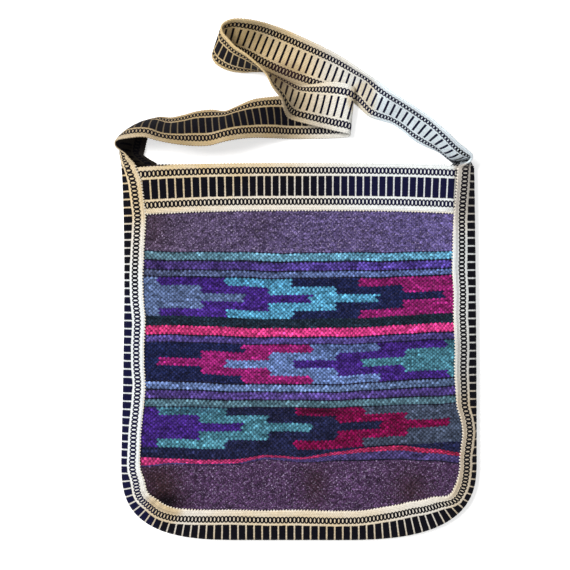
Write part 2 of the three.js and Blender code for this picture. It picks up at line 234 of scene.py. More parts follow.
class Shade:
    """A shader socket whose arithmetic adds Math nodes."""

    def __init__(self, paint: "Paint", socket: bpy.types.NodeSocket) -> None:
        """Wrap a socket of one material."""
        self.paint = paint
        self.socket = socket

    def math(self, operation: str, *others: "Operand") -> "Shade":
        """Add one Math node that takes this value first."""
        sockets = dict(enumerate((self, *others)))
        return self.paint.value("ShaderNodeMath", {"operation": operation}, sockets)

    def __add__(self, other: "Operand") -> "Shade":
        """Add."""
        return self.math("ADD", other)

    __radd__ = __add__

    def __mul__(self, other: "Operand") -> "Shade":
        """Multiply."""
        return self.math("MULTIPLY", other)

    __rmul__ = __mul__

    def __sub__(self, other: "Operand") -> "Shade":
        """Subtract."""
        return self.math("SUBTRACT", other)

    def __rsub__(self, other: float) -> "Shade":
        """Subtract from a number."""
        return (self * -1.0) + other

    def __truediv__(self, other: "Operand") -> "Shade":
        """Divide."""
        return self.math("DIVIDE", other)

    def __rtruediv__(self, other: float) -> "Shade":
        """Divide a number."""
        return self.math("POWER", -1.0) * other

    def __abs__(self) -> "Shade":
        """Drop the sign."""
        return self.math("ABSOLUTE")

    def fract(self) -> "Shade":
        """Keep what follows the whole number."""
        return self.math("FRACT")

    def floor(self) -> "Shade":
        """Keep the whole number."""
        return self.math("FLOOR")

    def most(self, other: "Operand") -> "Shade":
        """Take the larger value."""
        return self.math("MAXIMUM", other)

    def soft(self, low: float, high: float) -> "Shade":
        """Ease from 0 at low to 1 at high.

        Args:
            low: Value that gives 0.
            high: Value that gives 1; it may lie below low.

        Returns:
            The eased value.
        """
        settings = {"interpolation_type": "SMOOTHSTEP"}
        if low < high:
            return self.paint.value("ShaderNodeMapRange", settings, {0: self, 1: low, 2: high})
        return 1.0 - self.paint.value("ShaderNodeMapRange", settings, {0: self, 1: high, 2: low})


Operand = Union[Shade, float]


class Paint:
    """The nodes of one material, or of the room's light."""

    def __init__(self, owner: Union[bpy.types.Material, bpy.types.World]) -> None:
        """Start with nothing but the output.

        Args:
            owner: The material or the world.
        """
        owner.use_nodes = True
        self.owner = owner
        self.tree = owner.node_tree
        self.tree.nodes.clear()
        is_world = isinstance(owner, bpy.types.World)
        self.output = self.node("ShaderNodeOutputWorld" if is_world else "ShaderNodeOutputMaterial")

    def node(self, kind: str, settings: Settings = None, sockets: Sockets = None) -> bpy.types.Node:
        """Add a node of a type, with its settings, whose inputs take values, links or shades."""
        given = {key: s.socket if isinstance(s, Shade) else s for key, s in (sockets or {}).items()}
        return add_node(self.tree, kind, settings, given)

    def value(
        self, kind: str, settings: Settings = None, sockets: Sockets = None, output: Union[int, str] = 0
    ) -> Shade:
        """Add a node and wrap one of its outputs."""
        return Shade(self, self.node(kind, settings, sockets).outputs[output])

    def mix(self, share: Operand, first: Any, second: Any, blend: str = "MIX") -> Shade:
        """Blend two colours.

        Args:
            share: How much of the second shows.
            first: A colour or a wrapped socket.
            second: The same.
            blend: How they blend.

        Returns:
            The blended colour.
        """
        pair = [c if isinstance(c, Shade) else (*c, 1.0) for c in (first, second)]
        settings = {"data_type": "RGBA", "blend_type": blend}
        return self.value("ShaderNodeMix", settings, {0: share, 6: pair[0], 7: pair[1]}, 2)

    def toned(self, colour: Shade, tone: Shade) -> Shade:
        """Darken or lighten a colour."""
        grey = self.value("ShaderNodeCombineColor", None, {0: tone, 1: tone, 2: tone})
        return self.mix(1.0, colour, grey, "MULTIPLY")

    def split(self, vector: Shade) -> list[Shade]:
        """Split a vector into its three values."""
        node = self.node("ShaderNodeSeparateXYZ", None, {0: vector})
        return [Shade(self, out) for out in node.outputs]

    def place(self) -> Shade:
        """Position on the piece in metres."""
        return self.value("ShaderNodeTexCoord", output="Object")

    def weave_map(self) -> list[Shade]:
        """The piece's own weave coordinates."""
        return self.split(self.value("ShaderNodeUVMap", {"uv_map": "weave"}))

    def noise(self, at: Shade, size: float, detail: float = 2.0) -> Shade:
        """Smooth noise around one half, with patches of a size in millimetres."""
        sockets = {"Vector": at, "Scale": 1 / (size * MM), "Detail": detail}
        return self.value("ShaderNodeTexNoise", None, sockets)

    def show(self, shader: bpy.types.Node) -> None:
        """Show a shader."""
        self.tree.links.new(shader.outputs[0], self.output.inputs[0])

    def show_pale(self, lit: bpy.types.Node, pale: bpy.types.Node) -> None:
        """Show a pale background that doesn't light the bag.

        Args:
            lit: What lights the bag.
            pale: What is seen, straight on, in gloss and through glass.
        """
        rays = self.node("ShaderNodeLightPath")
        seen = Shade(self, rays.outputs["Is Camera Ray"])
        for ray in ("Is Glossy Ray", "Is Transmission Ray"):
            seen = seen.most(Shade(self, rays.outputs[ray]))
        self.show(self.node("ShaderNodeMixShader", None, {0: seen, 1: lit.outputs[0], 2: pale.outputs[0]}))

    def surface(self, colour: Shade, height: Shade, depth: float, sheen: float, roughness: Operand) -> None:
        """Finish the material as cloth.

        Args:
            colour: Colour over the surface.
            height: Relief from 0 to 1.
            depth: How deep the relief is in millimetres.
            sheen: Weight of the fibres' sheen.
            roughness: Roughness over the surface.
        """
        relief = {"Strength": 1.0, "Distance": depth * MM, "Height": height}
        sockets = {
            "Base Color": colour,
            "Roughness": roughness,
            "Normal": self.value("ShaderNodeBump", None, relief),
            "Sheen Weight": sheen,
            "Sheen Roughness": 0.6,
            "Specular IOR Level": 0.05,
        }
        self.show(self.node("ShaderNodeBsdfPrincipled", None, sockets))


@dataclass(frozen=True)
class WoolFinish:
    """Weft-faced wool: picks with painted highlights over a dark warp, flecked where the yarn is heather.
    """

    name: str
    valley_shade: float = 0.58
    crown_highlight: float = 1.52
    crown_ramp: Pair = (0.24, 0.96)
    heather_shade: float = 0.93
    heather_even: float = 0.6
    pick_depth: float = 0.9
    pick_relief: float = 0.8
    fibre_relief: float = 0.35
    sway: float = 0.8
    sway_size: float = 9.0
    fibre_size: float = 0.7
    fibre_tone: float = 0.5
    cloud_size: float = 24.0
    cloud_tone: float = 0.3
    plain_tone: float = 0.6
    tuft_size: float = 2.7
    tuft_ramp: Pair = (0.28, 0.72)
    tuft_tone: float = 0.7
    between_tufts: float = 0.51
    fleck_size: float = 1.3
    dark_ramp: Pair = (0.47, 0.3)
    dark_share: float = 0.68
    pale_ramp: Pair = (0.55, 0.77)
    pale_share: float = 0.7
    sheen: float = 0.03
    roughness: float = 0.88
    fibre_roughness: float = 0.14

    def material(self) -> bpy.types.Material:
        """Paint the wool.

        Returns:
            The material.
        """
        paint = Paint(bpy.data.materials.new(self.name))
        across, row, _ = paint.weave_map()
        place = paint.place()
        sway = paint.noise(place, self.sway_size) - 0.5
        sideways = ((across + sway * self.sway) * math.tau + math.pi).math("COSINE")
        upright = (row * math.pi - math.pi / 2).math("COSINE")
        pick = sideways * upright * 0.5 + 0.5
        fibre = paint.noise(place, self.fibre_size, 3.0)
        cloud = paint.noise(place, self.cloud_size)
        tuft = paint.noise(place, self.tuft_size, 1.0).soft(*self.tuft_ramp)
        attribute = paint.node("ShaderNodeAttribute", {"attribute_name": "yarn"})
        yarn = Shade(paint, attribute.outputs["Color"])
        heather = Shade(paint, attribute.outputs["Alpha"])
        speck = paint.noise(place, self.fleck_size, 1.0)
        dark = speck.soft(*self.dark_ramp) * heather * self.dark_share
        pale = speck.soft(*self.pale_ramp) * heather * self.pale_share
        yarn = paint.mix(pale, paint.mix(dark, yarn, Dye.DARK_FLECK.light), Dye.FLECK.light)
        # Painted highlight on the picks' crowns and painted shade in the valleys, where the dark warp shows
        # as well.
        tone = pick.soft(*self.crown_ramp) * (self.crown_highlight - self.valley_shade) + self.valley_shade
        tone = tone + (self.heather_shade - tone) * heather * self.heather_even
        tone = tone * (fibre * self.fibre_tone + cloud * self.cloud_tone + self.plain_tone)
        colour = paint.toned(yarn, tone * (tuft * self.tuft_tone + self.between_tufts))
        height = pick * self.pick_relief + fibre * self.fibre_relief
        roughness = fibre * self.fibre_roughness + self.roughness
        paint.surface(colour, height, self.pick_depth, self.sheen, roughness)
        return paint.owner


@dataclass(frozen=True)
class Mark:
    """A place on the laid bag where the band looks different."""

    share: float

    def mask(self, x: Shade, y: Shade) -> Shade:
        """How much of it shows at a place in metres, from nought to its share."""
        raise NotImplementedError


@dataclass(frozen=True)
class Stretch(Mark):
    """A stretch of the band, between ramps across and up the bag."""

    across: tuple[Pair, ...]
    up: tuple[Pair, ...]

    def mask(self, x: Shade, y: Shade) -> Shade:
        """Multiply its ramps.

        Args:
            x: Place across the bag in metres.
            y: Place up the bag in metres.

        Returns:
            How much of it shows.
        """
        shown: Operand = self.share
        for at, ramps in ((x, self.across), (y, self.up)):
            for start, end in ramps:
                shown = at.soft(start * MM, end * MM) * shown
        return shown


@dataclass(frozen=True)
class RoundMark(Mark):
    """A round or oval mark, whole up to a near distance and gone at a far one."""

    x: float
    y: float
    near: float
    far: float
    squeeze: Pair = (1.0, 1.0)

    def mask(self, x: Shade, y: Shade) -> Shade:
        """Fade it by the distance from its middle.

        Args:
            x: Place across the bag in metres.
            y: Place up the bag in metres.

        Returns:
            How much of it shows.
        """
        off_x, off_y = x - self.x * MM, y - self.y * MM
        away = off_x * off_x * self.squeeze[0] + off_y * off_y * self.squeeze[1]
        return away.soft((self.far * MM) ** 2, (self.near * MM) ** 2) * self.share


def strongest(marks: tuple[Mark, ...], x: Shade, y: Shade) -> Shade:
    """Take the strongest of several marks.

    Args:
        marks: The marks.
        x: Place across the bag in metres.
        y: Place up the bag in metres.

    Returns:
        How much of it shows.
    """
    shown = marks[0].mask(x, y)
    for mark in marks[1:]:
        shown = shown.most(mark.mask(x, y))
    return shown


@dataclass(frozen=True)
class BandFinish:
    """Warp-faced band: cream ground, navy bars between two chain rows.

    Its marks paint light and shade on the laid bag: cool light makes the navy bluer and the cream cooler,
    warm light and shade turn the cream tan, and shade darkens it on the right side, in the lower left
    corner, beside seams, on the strap's low run and ends and under the loop.
    One tan mark along the bottom only tints the cream.
    """

    side: Side
    bar_width: float = 6.2
    tick_width: float = 2.5
    link_half: Pair = (2.48, 3.62)
    link_blur: float = 0.16
    eye_half: Pair = (0.7, 2.15)
    eye_blur: float = 0.35
    edge: float = 0.16
    wobble_size: float = 3.0
    bar_wobble: float = 1.2
    chain_wobble: float = 0.5
    fibre_size: float = 0.8
    fibre_tone: float = 0.16
    slub_size: float = 2.2
    slub_ramp: Pair = (0.3, 0.7)
    slub_tone: float = 0.16
    rib_light_and_shade: float = 0.4
    plain_tone: float = 0.55
    patch_size: float = 18.0
    patch_range: Pair = (-0.2, 0.5)
    ink_ramp: Pair = (0.4, 0.8)
    ink_share: float = 0.5
    warp_pitch: float = 1.6
    beats_per_bar: float = 4.0
    relief: float = 0.5
    sheen: float = 0.02
    roughness: float = 0.84
    fibre_roughness: float = 0.12
    # Painted shade in the gaps between the bars, deeper on the strap's low run, whose cream is darkened as
    # well.
    gap_shade: float = 0.16
    low_run: Stretch = Stretch(1.0, ((30, -20),), ((195, 205), (264, 252)))
    low_run_gap_shade: float = 0.5
    low_run_shade: float = 0.34
    # Painted cool light on the navy: the right part of the mouth and the left side.
    navy_in_cool_light: tuple[Mark, ...] = (
        Stretch(1.0, ((-20, 100), (158, 152)), ((135, 145),)),
        Stretch(1.0, ((-130, -160),), ((100, 0),)),
    )
    # Painted light and shade that turn the cream tan: shade round the loop, warm light at the top left, the
    # loop's shadow where the strap crosses, shade in the lower left corner and on the right side. One mark
    # only tints the cream along the bottom.
    tanned: tuple[Mark, ...] = (
        RoundMark(0.75, -90, 272, 44.7, 154.9),
        RoundMark(0.5, 0, -185, 0, 89.4, (0.3, 3.0)),
        RoundMark(0.6, -172, 176, 22.4, 94.9, (0.5, 2.0)),
        RoundMark(1.0, 64, 253, 10, 20),
        RoundMark(0.6, -136, -157, 7.1, 26.5),
        Stretch(0.42, ((130, 160),), ((120, -20),)),
    )
    # Painted cool light on the cream: the strap's right run, the left side, the right end of the mouth and
    # the right side.
    cool_light: tuple[Mark, ...] = (
        Stretch(1.0, ((62, 85),), ((186, 190),)),
        Stretch(0.6, ((-130, -160),), ((120, 60), (-160, -100))),
        Stretch(0.55, ((0, 100), (158, 152)), ((135, 145),)),
        Stretch(0.55, ((148, 154),), ((-60, -10), (140, 100))),
    )
    # Painted shade on the cream: the right side, more towards its top and its bottom, and the lower left
    # corner.
    in_shade: tuple[Mark, ...] = (
        Stretch(0.11, ((150, 158),), ((190, 186),)),
        Stretch(0.27, ((150, 158),), ((190, 186), (120, 150))),
        Stretch(0.15, ((150, 158),), ((30, 0), (-150, -110))),
        RoundMark(0.13, -136, -157, 7.1, 26.5),
    )
    # Painted shade in the valley between selvedge and chain, beside the right seam and in the lower left
    # corner.
    seam_valley_shade: tuple[Mark, ...] = (
        Stretch(0.26, ((142, 150),), ((185, 165),)),
        Stretch(0.26, ((-110, -125),), ((-130, -145),)),
    )
    seam_valley_line: tuple[Pair, Pair] = ((19.4, 20.6), (22.6, 21.6))
    # Painted shadow inside the strap's left end, where it rises out of the gusset.
    corner_shadow: RoundMark = RoundMark(0.97, -162, 198, 26.5, 40, (1.0, 1.2))
    # Painted shade between the folds, where the loop passes under the strap's upper run.
    loop_shadow: RoundMark = RoundMark(0.45, -16, 275, 0, 22.4, (0.5, 1.0))
    # Painted shade on the lower strip of the strap's right end, by its back edge.
    strap_end_shadow: Stretch = Stretch(0.75, ((142, 154),), ((202, 196),))
    strap_end_shadow_edge: Pair = (0.26, 0.14)

    def material(self) -> bpy.types.Material:
        """Paint one side of the band.

        Returns:
            The material.
        """
        paint = Paint(bpy.data.materials.new(f"band {self.side.name.lower()}"))
        along, share, _ = paint.weave_map()
        place = paint.place()
        x, y, _ = paint.split(place)
        wobble = paint.noise(place, self.wobble_size) - 0.5
        from_middle = abs(share - 0.5) * BAND_WIDTH
        bars = self._bars(along, from_middle + wobble * self.bar_wobble, wobble)
        links, eyes = self._chain(along, from_middle + wobble * self.chain_wobble)
        fibre = paint.noise(place, self.fibre_size, 3.0)
        # Painted cool light makes the navy bluer there.
        navy_in_cool_light = sum(mark.mask(x, y) for mark in self.navy_in_cool_light)
        night = paint.mix(navy_in_cool_light.soft(0.0, 1.0), Dye.NIGHT.light, Dye.NIGHT_BLUE.light)
        night = paint.mix(fibre.soft(*self.ink_ramp) * self.ink_share, night, Dye.INK.light)
        cream = self._cream(paint, place, from_middle)
        colour = paint.mix(bars.most(links * (1.0 - eyes)), cream, night)
        # On the reverse: painted shadow inside the strap's left end, painted shade on the lower strip of
        # its right end and under the loop.
        if self.side is Side.REVERSE:
            end = self.strap_end_shadow.mask(x, y) * share.soft(*self.strap_end_shadow_edge)
            colour = paint.mix(self.corner_shadow.mask(x, y), colour, Dye.NIGHT.light)
            colour = paint.mix(end, colour, Dye.NIGHT.light)
            colour = paint.mix(self.loop_shadow.mask(x, y), colour, Dye.SHADE_BROWN.light)
        yarns = share * (BAND_WIDTH / self.warp_pitch)
        warp = yarns.fract() - 0.5
        beat = (along * self.beats_per_bar + yarns.floor() * 0.5).fract() - 0.5
        rib = (1.0 - warp * warp * 4.0) * (1.0 - beat * beat * 3.0)
        slub = paint.noise(place, self.slub_size).soft(*self.slub_ramp)
        # Each warp yarn is painted lighter on its crown and darker at its sides; fibre and slub noise vary
        # the tone at random.
        tone = rib * self.rib_light_and_shade + fibre * self.fibre_tone + slub * self.slub_tone + self.plain_tone
        height = rib * 0.5 + bars * 0.5 + eyes * 0.4 + fibre * 0.25
        roughness = fibre * self.fibre_roughness + self.roughness
        paint.surface(paint.toned(colour, tone), height, self.relief, self.sheen, roughness)
        return paint.owner

    def _bars(self, along: Shade, from_middle: Shade, wobble: Shade) -> Shade:
        """Mask the bars: wide on the face, thin on the reverse.

        Args:
            along: Bars along the band.
            from_middle: Distance from its middle line.
            wobble: How the yarns waver.

        Returns:
            One on a bar.
        """
        off = abs(along.fract() - 0.5) * BAR_PITCH + wobble * 0.5
        if self.side is Side.FACE:
            half = self.bar_width / 2
            lengthwise = off.soft(half + self.edge, half - self.edge)
        else:
            half = (BAR_PITCH - self.tick_width) / 2
            lengthwise = off.soft(half - self.edge, half + self.edge)
        return lengthwise * from_middle.soft(BAR_REACH + self.edge, BAR_REACH - self.edge)

    def _chain(self, along: Shade, from_middle: Shade) -> tuple[Shade, Shade]:
        """Mask the chain rows, two links to a bar.

        Args:
            along: Bars along the band.
            from_middle: Distance from its middle line.

        Returns:
            The dark links and their pale eyes.
        """
        step = ((along * 2.0 + 0.5).fract() - 0.5) * (BAR_PITCH / 2)
        off = from_middle - CHAIN_AT

        def oval(half: Pair, blur: float) -> Shade:
            """Mask one oval."""
            a, c = step / half[0], off / half[1]
            return (a * a + c * c).soft(1 + blur, 1 - blur)

        return oval(self.link_half, self.link_blur), oval(self.eye_half, self.eye_blur)

    def _cream(self, paint: Paint, place: Shade, from_middle: Shade) -> Shade:
        """Paint the undyed cotton.

        Args:
            paint: The material.
            place: Position on the piece.
            from_middle: Distance from the band's middle line.

        Returns:
            The cream, with painted warm light, cool light and shade.
        """
        x, y, _ = paint.split(place)
        least, span = self.patch_range
        patchy = paint.noise(place, self.patch_size) * span + least
        # Painted warm light and shade turn the cream tan, over random patches.
        tanned = strongest(self.tanned, x, y) + patchy
        cream = paint.mix(tanned.soft(0.0, 1.0), Dye.IVORY.light, Dye.TAN.light)
        # Painted cool light makes the cream cooler there.
        cream = paint.mix(strongest(self.cool_light, x, y), cream, Dye.COOL_LIGHT_WHITE.light)
        # Painted shade darkens the cream, most on the strap's low run.
        low_run = self.low_run.mask(x, y)
        shade = sum(mark.mask(x, y) for mark in self.in_shade)
        cream = paint.mix(shade + low_run * self.low_run_shade, cream, Dye.SHADE_BROWN.light)
        if self.side is Side.FACE:
            # Painted shade in the gaps between the bars.
            between = from_middle.soft(BAR_REACH + 1.0, BAR_REACH - 1.0)
            gaps = between * (low_run * self.low_run_gap_shade + self.gap_shade)
            cream = paint.mix(gaps, cream, Dye.NIGHT.light)
            # Painted shade in the valley beside the seam.
            outer, inner = self.seam_valley_line
            line = from_middle.soft(*outer) * from_middle.soft(*inner)
            cream = paint.mix(line * strongest(self.seam_valley_shade, x, y), cream, Dye.SHADE_BROWN.light)
        return cream


@dataclass(frozen=True)
class ThreadFinish:
    """Cotton sewing thread."""

    name: str = "sewing thread"
    twist_size: float = 0.6
    twist_depth: float = 0.2
    patch_size: float = 14.0
    patch_ramp: Pair = (0.3, 0.7)
    tanned: float = 0.3
    sheen: float = 0.1
    roughness: float = 0.8
    twist_roughness: float = 0.1

    def material(self) -> bpy.types.Material:
        """Paint the thread.

        Returns:
            The material.
        """
        paint = Paint(bpy.data.materials.new(self.name))
        place = paint.place()
        twist = paint.noise(place, self.twist_size)
        patch = paint.noise(place, self.patch_size).soft(*self.patch_ramp)
        colour = paint.mix(patch * self.tanned, Dye.IVORY.light, Dye.TAN.light)
        roughness = twist * self.twist_roughness + self.roughness
        paint.surface(colour, twist, self.twist_depth, self.sheen, roughness)
        return paint.owner


@dataclass(frozen=True)
class FloorFinish:
    """A plain pale floor that shows white and keeps the bag's shadow."""

    name: str = "pale floor"
    shade: float = 0.86
    lift: float = 0.5

    def material(self) -> bpy.types.Material:
        """Paint the floor.

        Returns:
            The material.
        """
        paint = Paint(bpy.data.materials.new(self.name))
        diffuse = paint.node("ShaderNodeBsdfDiffuse", None, {"Color": (*[self.shade] * 3, 1.0)})
        glow = paint.node("ShaderNodeEmission", None, {"Color": WHITE, "Strength": self.lift})
        both = paint.node("ShaderNodeAddShader", None, {0: diffuse.outputs[0], 1: glow.outputs[0]})
        paint.show_pale(diffuse, both)
        return paint.owner


@dataclass
class ClothMesh:
    """Points and quads of a cloth piece, with weave coordinates for every corner."""

    points: Array
    quads: Array
    weave: Array
    yarn: Optional[Array] = None
    material_index: Optional[Array] = None
    lowest: float = 0.02

    def make(self, name: str, materials: list[bpy.types.Material]) -> bpy.types.Object:
        """Turn it into an object at the origin.

        Args:
            name: The object's name.
            materials: Its materials, in the order of the indices.

        Returns:
            The object.
        """
        mesh = bpy.data.meshes.new(name)
        heights = np.maximum(self.points[:, 2], self.lowest)
        above_floor = np.column_stack([self.points[:, :2], heights])
        mesh.from_pydata((above_floor * MM).tolist(), [], self.quads.tolist())
        layer = mesh.uv_layers.new(name="weave")
        layer.data.foreach_set("uv", self.weave.astype(np.float32).ravel())
        if self.yarn is not None:
            colours = mesh.color_attributes.new(name="yarn", type="FLOAT_COLOR", domain="CORNER")
            corners = np.repeat(self.yarn, 4, axis=0)
            colours.data.foreach_set("color", corners.astype(np.float32).ravel())
        for material in materials:
            mesh.materials.append(material)
        if self.material_index is not None:
            mesh.polygons.foreach_set("material_index", self.material_index.astype(np.int32))
        mesh.polygons.foreach_set("use_smooth", np.ones(len(self.quads), bool))
        mesh.update()
        return put(name, mesh)


@dataclass
class Corner:
    """A rounded lower corner of the bag."""

    reach: float
    rise: float
    power: float

    def inset(self, angle: Array) -> tuple[Array, Array]:
        """Follow the outline round the corner.

        Args:
            angle: Turn from the side, at nought, to the bottom.

        Returns:
            How far it lies in from the side and up from the bottom.
        """
        side = self.reach * (1 - np.cos(angle) ** (2 / self.power))
        up = self.rise * (1 - np.sin(angle) ** (2 / self.power))
        return side, up


@dataclass
class BagEdge:
    """The bag's outer edge, from the left end of the mouth round the bottom to the right end."""

    width: float = 356.0
    height: float = 377.0
    left: Corner = field(default_factory=lambda: Corner(125.0, 80.0, 3.0))
    right: Corner = field(default_factory=lambda: Corner(140.0, 80.0, 2.8))
    left_bow: float = 3.0
    bow_power: float = 0.7
    right_taper: float = 2.4
    samples: int = 900
    even_samples: int = 1400
    evened: int = 4
    above_mouth: float = 40.0
    batch: int = 2000

    @property
    def mouth(self) -> float:
        """Height of the mouth on the floor plan."""
        return self.height / 2

    def trace(self, top: float) -> tuple[Array, Array]:
        """Sample the edge densely.

        Args:
            top: Where both ends stop on the floor plan.

        Returns:
            Points and the length up to each.
        """
        t = np.linspace(0, 1, self.samples)
        half = self.width / 2
        low = -self.height / 2
        left_x = -half + self.left_bow * np.sin(math.pi * t**self.bow_power)
        left_side = np.stack([left_x, top + (low + self.left.rise - top) * t], 1)
        side, up = self.left.inset(t * math.pi / 2)
        left_corner = np.stack([-half + side, low + up], 1)
        run = -half + self.left.reach + (self.width - self.left.reach - self.right.reach) * t
        bottom = np.stack([run, np.full_like(t, low)], 1)
        side, up = self.right.inset((1 - t) * math.pi / 2)
        right_corner = np.stack([half - side, low + up], 1)
        start = low + self.right.rise
        right_side = np.stack([half - self.right_taper * t**2, start + (top - start) * t], 1)
        points = np.concatenate([left_side, left_corner, bottom, right_corner, right_side])
        steps = np.linalg.norm(np.diff(points, axis=0), axis=1)
        points = points[np.concatenate([[True], steps > 1e-6])]
        return points, lengths(points)

    def even(self, top: float, count: int) -> tuple[Array, Array, float]:
        """Sample the edge at even lengths.

        Args:
            top: Where both ends stop.
            count: Number of points.

        Returns:
            Points, outward directions and the edge's length.
        """
        points, length = self.trace(top)
        line = read_line(np.linspace(0, length[-1], count), length, points)
        run = np.gradient(line, axis=0)
        run = unit(np.stack([even_out(column, self.evened) for column in run.T], 1))
        return line, np.stack([run[:, 1], -run[:, 0]], 1), float(length[-1])

    def closest(self, plan: Array) -> tuple[Array, Array]:
        """Find the closest place on the edge.

        Args:
            plan: Points on the floor plan.

        Returns:
            Distances in from the edge, and the numbers of the closest of its even samples.
        """
        line, outward, _ = self.even(self.mouth + self.above_mouth, self.even_samples)
        index = np.empty(len(plan), int)
        for start in range(0, len(plan), self.batch):
            part = plan[start : start + self.batch]
            gap = ((part[:, None, :] - line[None]) ** 2).sum(-1)
            index[start : start + self.batch] = gap.argmin(1)
        return ((line[index] - plan) * outward[index]).sum(1), index


@dataclass
class WovenBand:
    """The patterned band that edges the bag, shared by gusset, strap and mouth."""

    rows_per_bar: int = 10
    edge_columns: tuple[float, ...] = (0.0, 0.35, 0.95, 1.9, 3.1)
    inner_from: float = 4.4
    inner_columns: int = 26
    scallops_per_bar: float = 2.5
    scallop: float = 0.8
    scallop_reach: float = 2.2
    bar_flank: Pair = (3.2, 2.2)
    bar_end: float = 0.8
    bar_lift: float = 0.16
    chain_half: float = 3.8
    chain_lift: float = 0.16
    selvedge_at: float = 2.0
    selvedge_half: float = 2.2
    selvedge_lift: float = 0.22
    round_edge: float = 0.95
    thinnest: float = 0.14
    stitch_lift: float = 0.2
    materials: list[bpy.types.Material] = field(default_factory=list)

    def columns(self) -> Array:
        """Space the mesh columns, closer at the edges.

        Returns:
            Places across the band, from -1 at one edge to 1 at the other.
        """
        half = BAND_WIDTH / 2
        edge = np.array(self.edge_columns)
        inner = np.linspace(-half + self.inner_from, half - self.inner_from, self.inner_columns)
        return np.concatenate([-half + edge, inner, (half - edge)[::-1]]) / half

    def across(self, rows: int) -> Array:
        """Distance from the middle line, for so many rows of points."""
        return np.repeat(self.columns()[None] * BAND_WIDTH / 2, rows, axis=0)

    def rows(self, length: float) -> int:
        """Number of mesh rows along a length."""
        return int(round(length / BAR_PITCH * self.rows_per_bar)) + 1

    def half_thickness(self, along: Array, across: Array, drift: Union[Array, float]) -> Array:
        """Half the band's thickness with its relief.

        Args:
            along: Length along the band.
            across: Distance from its middle line.
            drift: How far the pattern lies off that line.

        Returns:
            Half thicknesses.
        """
        off = np.abs(across + drift)
        in_bar = np.abs(np.mod(along / BAR_PITCH, 1) - 0.5) * BAR_PITCH
        bar = smooth(BAR_REACH + self.bar_end, BAR_REACH - self.bar_end, off)
        bar = bar * smooth(*self.bar_flank, in_bar)
        braid = np.clip(1 - ((off - CHAIN_AT) / self.chain_half) ** 2, 0, 1)
        from_edge = BAND_WIDTH / 2 - np.abs(across)
        selvedge = np.clip(1 - ((from_edge - self.selvedge_at) / self.selvedge_half) ** 2, 0, 1)
        lift = self.bar_lift * bar + self.chain_lift * braid + self.selvedge_lift * selvedge
        rounded = np.sqrt(np.clip(from_edge / self.round_edge, self.thinnest, 1))
        return (BAND_THICKNESS / 2 + lift) * rounded

    def mesh(
        self, middle: Array, along: Array, across: Array, drift: Union[Array, float] = 0.0
    ) -> ClothMesh:
        """Build the band's closed surface.

        Args:
            middle: Middle surface, rows by columns by three; its face lies where across x along points.
            along: Length along the band at every point.
            across: Distance from the middle line at every point.
            drift: How far the pattern lies off the middle line.

        Returns:
            The band's mesh.
        """
        side = unit(np.gradient(middle, axis=1))
        normal = unit(np.cross(side, unit(np.gradient(middle, axis=0))))
        half = self.half_thickness(along, across, drift)[..., None]
        beat = 0.5 + 0.5 * np.cos(along / BAR_PITCH * self.scallops_per_bar * math.tau)
        near_edge = smooth(BAND_WIDTH / 2 - self.scallop_reach, BAND_WIDTH / 2, np.abs(across))
        middle = middle + side * (np.sign(across) * near_edge * beat * self.scallop)[..., None]
        points = np.concatenate([(middle + normal * half * way).reshape(-1, 3) for way in (1, -1)])
        weave = np.stack([along / BAR_PITCH, (across + drift) / BAND_WIDTH + 0.5], -1).reshape(-1, 2)
        top = np.arange(along.size).reshape(along.shape)
        low = top + along.size
        walls = (
            [top[:-1, :-1], top[:-1, 1:], top[1:, 1:], top[1:, :-1]],
            [low[:-1, :-1], low[1:, :-1], low[1:, 1:], low[:-1, 1:]],
            [top[:-1, 0], top[1:, 0], low[1:, 0], low[:-1, 0]],
            [top[:-1, -1], low[:-1, -1], low[1:, -1], top[1:, -1]],
            [top[0, :-1], low[0, :-1], low[0, 1:], top[0, 1:]],
            [top[-1, :-1], top[-1, 1:], low[-1, 1:], low[-1, :-1]],
        )
        parts = [np.stack(wall, -1).reshape(-1, 4) for wall in walls]
        quads = np.concatenate(parts)
        sides = np.full(len(quads), Side.FACE.value)
        sides[len(parts[0]) : 2 * len(parts[0])] = Side.REVERSE.value
        corners = np.concatenate([weave, weave])[quads].reshape(-1, 2)
        return ClothMesh(points, quads, corners, material_index=sides)

    def edge_line(self, middle: Array, column: int) -> SewnEdge:
        """Where a sewn edge of the band lies.

        Args:
            middle: The band's middle surface.
            column: Which column the stitches cross.

        Returns:
            Points, directions along the edge and directions up from the face.
        """
        run = unit(np.gradient(middle, axis=0)[:, column])
        side = unit(np.gradient(middle, axis=1)[:, column])
        up = unit(np.cross(side, run))
        return middle[:, column] + up * self.stitch_lift, run, up


